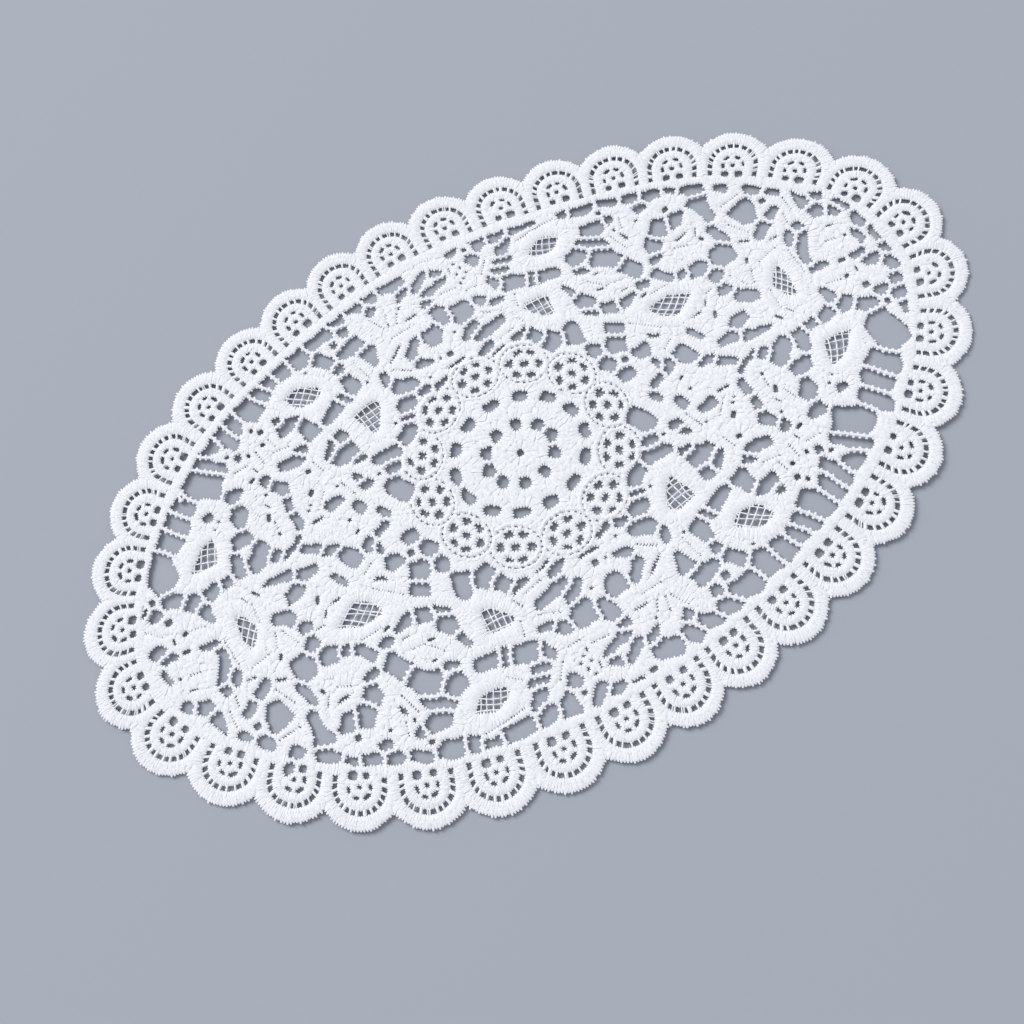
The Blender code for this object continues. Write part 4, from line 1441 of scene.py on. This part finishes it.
def feet(line: np.ndarray, pitch: float, side: float = 1.0) -> list[Foot]:
    """The feet of a row of stitches that fan out round the bends of a closed line.

    Args:
        line: corner points of the line.
        pitch: distance between the stitches.
        side: 1 where they stand to its left, -1 where they stand to its right.

    Returns:
        One foot for each stitch.
    """
    points = even_points(line, pitch)
    ways = left_normals(points) * side
    between = 0.5 * (np.roll(points, -1, axis=0) - np.roll(points, 1, axis=0))
    fan = 0.5 * (np.roll(ways, -1, axis=0) - np.roll(ways, 1, axis=0))
    row = []
    for place, way, d, f in zip(points, ways, between, fan):
        width = way[0] * d[1] - way[1] * d[0]
        growth = (way[0] * f[1] - way[1] * f[0]) * math.copysign(1.0, width)
        row.append(Foot(place, way, abs(width), growth))
    return row


@dataclass
class EdgeStyle:
    """How one edge is stitched: the pitch of its stitches, and how far and how wide their ends stand out."""

    pitch: float = 1.2
    tooth: float = 0.56
    tip: float = 0.42


@dataclass(frozen=True)
class FirstStitch:
    """The shape of a stitch that starts at an edge: tooth, body, and the end on the crown of the lace.

    The body starts and the end begins at a run of their own, or at a share of a stitch that is short.
    """

    past_middle: float = 0.25
    full_length: float = 3.0
    body_run: float = 0.35
    body_share: float = 0.45
    end_run: float = 0.6
    end_share: float = 0.7
    tooth_heights: tuple[float, float] = (0.45, 0.8)
    body_low: float = 0.2
    body_top: float = 0.96
    body_rise: float = 0.12
    low: float = 0.15
    least_width: float = 0.55
    spare_width: float = 0.3
    uneven_width: tuple[float, float] = (0.9, 1.1)
    uneven_top: float = 0.03


@dataclass(frozen=True)
class InnerStitch:
    """The shape of a stitch that fills a wide place: shares of its length and width, and its heights."""

    shoulders: tuple[float, float] = (0.16, 0.84)
    end_widths: tuple[float, float] = (0.66, 0.7)
    low: float = 0.4
    least_row: float = 0.3
    least_width: float = 0.75
    start_drift: tuple[float, float] = (-0.3, 0.2)
    past_end: float = 0.3
    uneven_width: tuple[float, float] = (0.86, 1.14)
    uneven_top: tuple[float, float] = (0.01, 0.04)


@dataclass
class SatinWork:
    """Lays satin stitches square to every edge of the lace, out to half way to the next edge."""

    plan: LacePlan
    edges: Edges
    first: FirstStitch = FirstStitch()
    inner: InnerStitch = InnerStitch()
    longest: float = 12.0
    whole_run: float = 5.4
    first_run: float = 3.6
    first_drift: tuple[float, float] = (-0.7, 0.5)
    inner_run: tuple[float, float] = (3.2, 4.6)
    last_run: float = 5.2
    least_run: float = 1.0
    first_lap: float = 0.5
    inner_lap: float = 0.4
    any_tooth: tuple[float, float] = (0.3, 1.6)
    long_tooth: tuple[float, float] = (1.0, 1.6)
    short_tooth: tuple[float, float] = (0.0, 0.35)
    inner_width: float = 1.3
    widest: float = 1.75
    overlap: float = 1.3
    skin: float = 1.13
    crown: float = 0.1
    lean: float = 0.06
    dip: float = 0.15
    wander: float = 3.0
    bar_reach: float = 1.1
    fine_from: float = 3.6

    def stitch_line(self, line: np.ndarray, side: float, style: EdgeStyle, rng: np.random.Generator,
                    into: Stitches) -> None:
        """Lays the stitches of one edge.

        Args:
            line: the edge, counter-clockwise.
            side: 1 where the lace is to its left, -1 where it is to its right.
            style: how the edge is stitched.
            rng: the source of unevenness.
            into: where the stitches go.
        """
        for number, foot in enumerate(feet(line, style.pitch, side)):
            reach = self.edges.middle(foot.place, foot.way, self.longest)
            tooth = style.tooth * rng.uniform(*self.any_tooth)
            if reach < self.bar_reach:
                tooth = style.tooth * rng.uniform(*(self.long_tooth if number % 2 else self.short_tooth))
            heading = swung(foot.way, rng.normal(0.0, self.wander))
            first = reach
            fans_out = foot.width + foot.growth * reach > self.widest
            if reach > self.first_run and (reach > self.whole_run or fans_out):
                first = self.first_run + rng.uniform(*self.first_drift)
            self.first_stitch(foot, heading, first, tooth, style.tip, rng, into)
            start = first - self.first_lap
            while reach - start > self.least_run:
                end = reach if reach - start < self.last_run else start + rng.uniform(*self.inner_run)
                self.inner_stitches(foot, start, end, rng, into)
                start = end - self.inner_lap

    def first_stitch(self, foot: Foot, heading: np.ndarray, far: float, tooth: float, tip: float,
                     rng: np.random.Generator, into: Stitches) -> None:
        """Lays the stitch that starts with a tooth at the edge.

        Args:
            foot: where it stands on the edge.
            heading: direction into the lace.
            far: how far it runs from the edge.
            tooth: how far it stands out past the edge.
            tip: width of its end, as a share.
            rng: the source of unevenness.
            into: where it goes.
        """
        shape = self.first
        overlap = self.overlap * rng.uniform(*shape.uneven_width)
        length = tooth + far + shape.past_middle
        rise = min(1.0, length / shape.full_length)
        body = min(tooth + shape.body_run, shape.body_share * length)
        late = max(length - shape.end_run, shape.end_share * length)
        top = self.skin + self.crown * rise + rng.normal(0.0, shape.uneven_top)
        most = self.widest + shape.spare_width
        width = float(np.clip(foot.width + foot.growth * far, shape.least_width, most)) * overlap
        dip = self.dip if far > self.bar_reach else 0.0
        into.lay(foot.place - heading * tooth, heading, (
            (0.0, tip * foot.width, *shape.tooth_heights),
            (body, overlap * foot.width, shape.body_low, shape.body_top + shape.body_rise * rise),
            (late, width, shape.low, top),
            (length, width * (1.0 - dip), shape.low, top - dip),
        ), rng.normal(0.0, self.lean))

    def inner_stitches(self, foot: Foot, start: float, end: float, rng: np.random.Generator,
                       into: Stitches) -> None:
        """Fills the rest of a wide place with stitches side by side.

        Args:
            foot: where the row stands on the edge.
            start: how far from the edge the stitches start.
            end: how far from it they end.
            rng: the source of unevenness.
            into: where they go.
        """
        shape = self.inner
        across = np.array([-foot.way[1], foot.way[0]])
        rows = [max(foot.width + foot.growth * far, shape.least_row) for far in (start, end)]
        count = max(1, round(max(rows) / self.inner_width))
        for k in range(count):
            place = (k + 0.5) / count - 0.5
            a = foot.place + foot.way * (start + rng.uniform(*shape.start_drift)) + across * place * rows[0]
            b = foot.place + foot.way * (end + shape.past_end) + across * place * rows[1]
            length = math.dist(a, b)
            top = self.skin + self.crown + rng.normal(*shape.uneven_top)
            overlap = self.overlap * rng.uniform(*shape.uneven_width)
            one, two = (max(shape.least_width, row / count * overlap) for row in rows)
            into.lay(a, (b - a) / length, (
                (0.0, shape.end_widths[0] * one, shape.low, top - self.dip),
                (shape.shoulders[0] * length, one, shape.low, top),
                (shape.shoulders[1] * length, two, shape.low, top),
                (length, shape.end_widths[1] * two, shape.low, top - self.dip),
            ), rng.normal(0.0, self.lean))

    def stitch(self, material: bpy.types.Material) -> list[bpy.types.Object]:
        """Stitches the whole plan.

        Args:
            material: the finish.

        Returns:
            The stitched pieces.
        """
        rng = np.random.default_rng(SEED + 7)
        origin = self.plan.rim.middle()
        plain, fine = EdgeStyle(), EdgeStyle(pitch=0.9, tooth=0.2, tip=0.6)
        rims = Stitches("satin_rim", origin)
        self.stitch_line(self.plan.edge, 1.0, EdgeStyle(tooth=0.62), rng, rims)
        upper, lower = Stitches("satin_upper_scallops", origin), Stitches("satin_lower_scallops", origin)
        for loop in self.plan.scallop_cut:
            self.stitch_line(loop, -1.0, fine, rng, upper if loop[:, 1].mean() > 0.0 else lower)
        fields = [Stitches(f"satin_field_{number + 1}", origin) for number in range(len(FIELD_EDGES) + 1)]
        for loop in self.plan.cut:
            x = loop[:, 0].mean()
            style = plain if np.ptp(loop, axis=0).max() > self.fine_from else fine
            self.stitch_line(loop, -1.0, style, rng, fields[sum(x > edge for edge in FIELD_EDGES)])
        return [s.build(material) for s in (rims, upper, lower, *fields)]


@dataclass(frozen=True)
class BandStyle:
    """How a raised band is laid: half its width, and the heights of its crown, outer side and inner side."""

    half: float
    top: float
    outer_end: float = 0.9
    inner_end: float = 0.9


@dataclass
class PaddedSatin:
    """Raised satin bands: the footing band, the windows' frames and the rings round the petals."""

    plan: LacePlan
    edges: Edges
    footing: BandStyle = BandStyle(1.9, 1.18, 1.06, 1.06)
    frame: BandStyle = BandStyle(2.2, 1.24, 1.12)
    ring: BandStyle = BandStyle(0.95, 1.32)
    pitch: float = 1.15
    tooth: float = 0.4
    any_tooth: tuple[float, float] = (0.2, 1.4)
    least_room: float = 0.5
    clear: float = 0.35
    overlap: float = 1.32
    uneven_width: tuple[float, float] = (0.9, 1.1)
    widths: tuple[float, float] = (0.5, 2.4)
    end_width: float = 0.5
    end_low: float = 0.5
    low: float = 0.3
    slope: float = 0.7
    slope_share: float = 0.3
    wander: float = 3.0
    uneven_top: float = 0.025
    lean: float = 0.12

    def band(self, line: np.ndarray, style: BandStyle, rng: np.random.Generator, into: Stitches,
             rivals: list[np.ndarray] | None = None) -> None:
        """Lays stitches across a line.

        Args:
            line: the middle of the band, closed.
            style: its width and heights.
            rng: the source of unevenness.
            into: where the stitches go.
            rivals: middles of the neighbours, whose side is left to them.
        """
        own = line.mean(axis=0)
        for place, way, width, growth in feet(line, self.pitch):
            if self.edges.in_hole(place) or self.edges.distance(place) < self.least_room:
                continue
            if any(math.dist(place, rival) < math.dist(place, own) for rival in rivals or ()):
                continue
            back, ahead = (
                self.edges.room(place, side, style.half, self.clear)
                + self.tooth * rng.uniform(*self.any_tooth)
                for side in (-way, way)
            )
            length = back + ahead
            slope = min(self.slope, self.slope_share * length)
            share = slope / length
            overlap = self.overlap * rng.uniform(*self.uneven_width)
            heading = swung(way, rng.normal(0.0, self.wander))
            high = style.top + rng.normal(0.0, self.uneven_top)
            one, two = (float(np.clip(width + growth * s, *self.widths)) for s in (-back, ahead))
            into.lay(place - heading * back, heading, (
                (0.0, self.end_width * one, self.end_low, style.outer_end),
                (slope, overlap * (one + (two - one) * share), self.low, high),
                (length - slope, overlap * (two - (two - one) * share), self.low, high),
                (length, self.end_width * two, self.end_low, style.inner_end),
            ), rng.normal(0.0, self.lean))

    def build(self, material: bpy.types.Material) -> list[bpy.types.Object]:
        """Works the three kinds of band.

        Args:
            material: the finish.

        Returns:
            The footing band, the window frames and the rings round the medallion's petals.
        """
        rng = np.random.default_rng(SEED + 17)
        origin = self.plan.rim.middle()
        footing, frames, rings = (
            Stitches(name, origin) for name in ("footing_band", "window_frames", "medallion_rings")
        )
        self.band(self.plan.band_line(self.plan.band_width / 2.0), self.footing, rng, footing)
        for _, loop in self.plan.nets:
            self.band(loop - left_normals(loop) * self.frame.half, self.frame, rng, frames)
        petals = self.plan.medallion.petals()
        for petal in petals:
            rivals = [np.array([other.x, other.y]) for other in petals if other is not petal]
            for add in (self.ring.half, -self.ring.half):
                self.band(self.plan.medallion.petal_ring(petal, add), self.ring, rng, rings, rivals)
        return [stitches.build(material) for stitches in (footing, frames, rings)]


@dataclass
class ThreadWork:
    """The single threads: rungs across the ladders, and nets across the windows of leaves and tulips."""

    plan: LacePlan
    rung_tuck: float = 0.7
    rung_low: float = 0.3
    rung_high: float = 0.98
    net_pitch: float = 2.6
    net_swing: float = 4.0
    net_drift: float = 0.2
    net_width: float = 0.5
    net_widths: tuple[float, float] = (0.8, 1.2)
    net_low: float = 0.35
    net_low_spread: float = 0.15
    net_thick: float = 0.45
    net_tuck: float = 0.6
    thread_swing: float = 0.07
    thread_bow: float = 0.035
    run_lap: float = 0.12
    shares: tuple[float, ...] = (0.0, 0.33, 0.67, 1.0)

    def lay_thread(self, into: Stitches, a: np.ndarray, b: np.ndarray, width: float, low: float,
                   high: float) -> None:
        """Lays one even thread from a to b."""
        length = math.dist(a, b)
        into.lay(a, (b - a) / length, tuple((length * share, width, low, high) for share in self.shares))

    def rungs(self, material: bpy.types.Material) -> bpy.types.Object:
        """The threads across the ladders.

        Args:
            material: the finish.

        Returns:
            The new object.
        """
        threads = Stitches("ladder_rungs", self.plan.rim.middle(), Section.ROUND)
        for a, b, width in self.plan.rungs:
            tuck = (b - a) / math.dist(a, b) * self.rung_tuck
            self.lay_thread(threads, a - tuck, b + tuck, width, self.rung_low, self.rung_high)
        return threads.build(material)

    def nets(self, material: bpy.types.Material) -> bpy.types.Object:
        """The threads across the windows.

        Args:
            material: the finish.

        Returns:
            The new object.
        """
        rng = np.random.default_rng(SEED + 13)
        threads = Stitches("net_threads", self.plan.rim.middle(), Section.ROUND)
        for window, loop in self.plan.nets:
            centre = loop.mean(axis=0)
            for degrees in (window.way, window.cross):
                way = math.radians(degrees + rng.uniform(-self.net_swing, self.net_swing))
                side = np.array([-math.sin(way), math.cos(way)])
                offsets = (loop - centre) @ side
                count = max(1, round(np.ptp(offsets) / self.net_pitch))
                for k in range(count):
                    offset = offsets.min() + np.ptp(offsets) * (k + 0.5) / count
                    offset += rng.uniform(-self.net_drift, self.net_drift)
                    self.net_thread(loop, centre + side * offset, way, rng, threads)
        return threads.build(material)

    def net_thread(self, loop: np.ndarray, point: np.ndarray, way: float, rng: np.random.Generator,
                   into: Stitches) -> None:
        """Lays one slightly bowed thread across a window, in three runs.

        Args:
            loop: the window's outline.
            point: a point of the thread's line.
            way: its direction in radians.
            rng: the source of unevenness.
            into: where the runs go.
        """
        way += rng.uniform(-self.thread_swing, self.thread_swing)
        heading = np.array([math.cos(way), math.sin(way)])
        ends = chord(loop, point, heading)
        if ends is None:
            return
        a, b = ends[0] - heading * self.net_tuck, ends[1] + heading * self.net_tuck
        side = np.array([-heading[1], heading[0]]) * rng.normal(0.0, self.thread_bow) * math.dist(a, b)
        low = self.net_low + self.net_low_spread * rng.random()
        width = self.net_width * rng.uniform(*self.net_widths)
        places = [a + (b - a) * s + side * 4.0 * s * (1.0 - s) for s in self.shares]
        for start, end in zip(places, places[1:]):
            step = (end - start) / math.dist(start, end) * self.run_lap
            self.lay_thread(into, start - step, end + step, width, low, low + self.net_thick)


def chord(loop: np.ndarray, point: np.ndarray, heading: np.ndarray) -> tuple[np.ndarray, np.ndarray] | None:
    """The two places where a straight line leaves a loop.

    Args:
        loop: a closed outline.
        point: any point of the line.
        heading: its unit direction.

    Returns:
        Both places, or None where the line misses the loop.
    """
    side = np.array([-heading[1], heading[0]])
    level = (loop - point) @ side
    following = np.roll(level, -1)
    crossing = np.flatnonzero((level > 0.0) != (following > 0.0))
    if len(crossing) < 2:
        return None
    share = level[crossing] / (level[crossing] - following[crossing])
    places = loop[crossing] + share[:, None] * (np.roll(loop, -1, axis=0)[crossing] - loop[crossing])
    along = (places - point) @ heading
    return places[along.argmin()], places[along.argmax()]


@dataclass
class Ground:
    """The thin ground that the stitches are worked on."""

    plan: LacePlan
    name: str = "lace_ground"
    low: float = 0.12
    high: float = 0.94
    draw_back: float = 0.25
    weld: float = 1e-6

    def drawn_back(self, loop: np.ndarray, side: float) -> np.ndarray:
        """The loop moved a little into the lace, so that the teeth stand past the ground."""
        return loop + left_normals(loop) * side * self.draw_back

    def area(self) -> float:
        """Flat area of the cut lace in square metres.

        Returns:
            What lies within the rim, less all openings.
        """
        whole = signed_area(self.plan.edge)
        gaps = sum(abs(signed_area(loop)) for loop in [*self.plan.cut, *self.plan.scallop_cut])
        return (whole - gaps) * MM * MM

    def build(self, material: bpy.types.Material) -> bpy.types.Object:
        """Makes the ground as a filled flat outline.

        Args:
            material: the finish.

        Returns:
            The mesh object.
        """
        origin = self.plan.rim.middle()
        curve = bpy.data.curves.new(self.name, "CURVE")
        curve.dimensions = "2D"
        curve.fill_mode = "BOTH"
        curve.extrude = (self.high - self.low) / 2.0 * MM
        loops = [self.drawn_back(self.plan.edge, 1.0)]
        loops += [self.drawn_back(loop, -1.0) for loop in [*self.plan.cut, *self.plan.scallop_cut]]
        for loop in loops:
            spline = curve.splines.new("POLY")
            spline.points.add(len(loop) - 1)
            flat = np.zeros((len(loop), 4))
            flat[:, :2] = (loop - origin) * MM
            flat[:, 3] = 1.0
            spline.points.foreach_set("co", flat.ravel())
            spline.use_cyclic_u = True
        drawn = linked(self.name + "_curve", curve)
        bpy.context.view_layer.update()
        evaluated = drawn.evaluated_get(bpy.context.evaluated_depsgraph_get())
        mesh = bpy.data.meshes.new_from_object(evaluated)
        bpy.data.objects.remove(drawn, do_unlink=True)
        bpy.data.curves.remove(curve)
        mesh.name = self.name
        welded = bmesh.new()
        welded.from_mesh(mesh)
        bmesh.ops.remove_doubles(welded, verts=welded.verts, dist=self.weld)
        bmesh.ops.recalc_face_normals(welded, faces=welded.faces)
        bmesh.ops.triangulate(welded, faces=welded.faces)
        layer = welded.loops.layers.uv.new(UV_NAME)
        middle = (self.low + self.high) / 2.0
        for vertex in welded.verts:
            x, y = vertex.co.x / MM + origin[0], vertex.co.y / MM + origin[1]
            vertex.co.z += (middle + float(uneven_lift(x, y))) * MM
        for face in welded.faces:
            for corner in face.loops:
                corner[layer].uv = (corner.vert.co.x / MM, corner.vert.co.y / MM)
        welded.to_mesh(mesh)
        welded.free()
        mesh.materials.clear()
        obj = lace_piece(mesh, material)
        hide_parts(DOILY_NODE)
        LOG.info("%s: %d triangles, %.4f m2", self.name, len(mesh.polygons), self.area())
        return obj


@dataclass
class Studio:
    """The table top, the soft lights and the camera.

    The camera's places and the gap under the lace are millimetres; the lamp and the table are measured in
    metres.
    """

    eye: tuple[float, float, float] = (-40.65, -134.90, 391.01)
    aim: tuple[float, float, float] = (-18.37, -17.45, 0.0)
    roll: float = -19.917
    lens: float = 37.043
    sensor: float = 36.0
    nearest: float = 0.01
    light_way: tuple[float, float, float] = (-0.34, 0.80, 0.68)
    light_distance: float = 9.0
    light_size: float = 4.9
    light_power: float = 800.0
    light_colour: tuple[float, float, float] = (1.0, 0.985, 0.96)
    sky: tuple[float, float, float] = (0.93, 0.96, 1.0)
    sky_strength: float = 0.6
    table_half: float = 6.0
    table_gap: float = 0.02

    def table(self, finish: TableFinish) -> bpy.types.Object:
        """The plain floor under the lace.

        Args:
            finish: its look.

        Returns:
            The object, which is only stage.
        """
        mesh = bpy.data.meshes.new("table_top")
        flat = bmesh.new()
        bmesh.ops.create_grid(flat, x_segments=1, y_segments=1, size=self.table_half)
        bmesh.ops.translate(flat, verts=flat.verts, vec=(0.0, 0.0, -self.table_gap * MM))
        flat.to_mesh(mesh)
        flat.free()
        mesh.materials.append(finish.material())
        obj = linked("table_top", mesh)
        return obj

    def lights(self) -> None:
        """One large soft light and an even sky."""
        way = Vector(self.light_way).normalized()
        lamp = bpy.data.lights.new("window", "AREA")
        lamp.shape = "DISK"
        lamp.size = self.light_size
        lamp.energy = self.light_power
        lamp.color = self.light_colour
        window = linked("window", lamp)
        window.location = way * self.light_distance
        window.rotation_euler = way.to_track_quat("Z", "Y").to_euler()
        world = bpy.data.worlds.new("sky")
        world.use_nodes = True
        sky = world.node_tree.nodes["Background"]
        sky.inputs["Color"].default_value = (*self.sky, 1.0)
        sky.inputs["Strength"].default_value = self.sky_strength
        bpy.context.scene.world = world
        bpy.context.scene.view_settings.view_transform = "Standard"

    def camera(self) -> None:
        """The camera above the lace, turned a little."""
        eye, aim = Vector(self.eye) * MM, Vector(self.aim) * MM
        data = bpy.data.cameras.new("camera")
        data.sensor_width = self.sensor
        data.lens = self.lens
        data.clip_start = self.nearest
        camera = linked("camera", data)
        back = (eye - aim).normalized()
        level = Matrix.Rotation(math.radians(self.roll), 3, back) @ back.to_track_quat("Z", "Y").to_matrix()
        camera.matrix_world = Matrix.Translation(eye) @ level.to_4x4()
        bpy.context.scene.camera = camera


def main() -> None:
    """Builds the lace piece by piece, then the table, lights and camera."""
    plan = LacePlan()
    LOG.info("plan: %d openings, %d in the scallops", len(plan.cut), len(plan.scallop_cut))
    cotton = CottonFinish().material()
    ground = Ground(plan)
    sheet = ground.build(cotton)
    edges = Edges(plan)
    pieces = SatinWork(plan, edges).stitch(cotton)
    pieces += PaddedSatin(plan, edges).build(cotton)
    threads = ThreadWork(plan)
    pieces.append(threads.rungs(cotton))
    pieces.append(threads.nets(cotton))
    studio = Studio()
    table = studio.table(TableFinish())
    studio.lights()
    studio.camera()


if __name__ == "__main__":
    logging.basicConfig(level=logging.INFO, format="%(name)s: %(message)s")
    main()
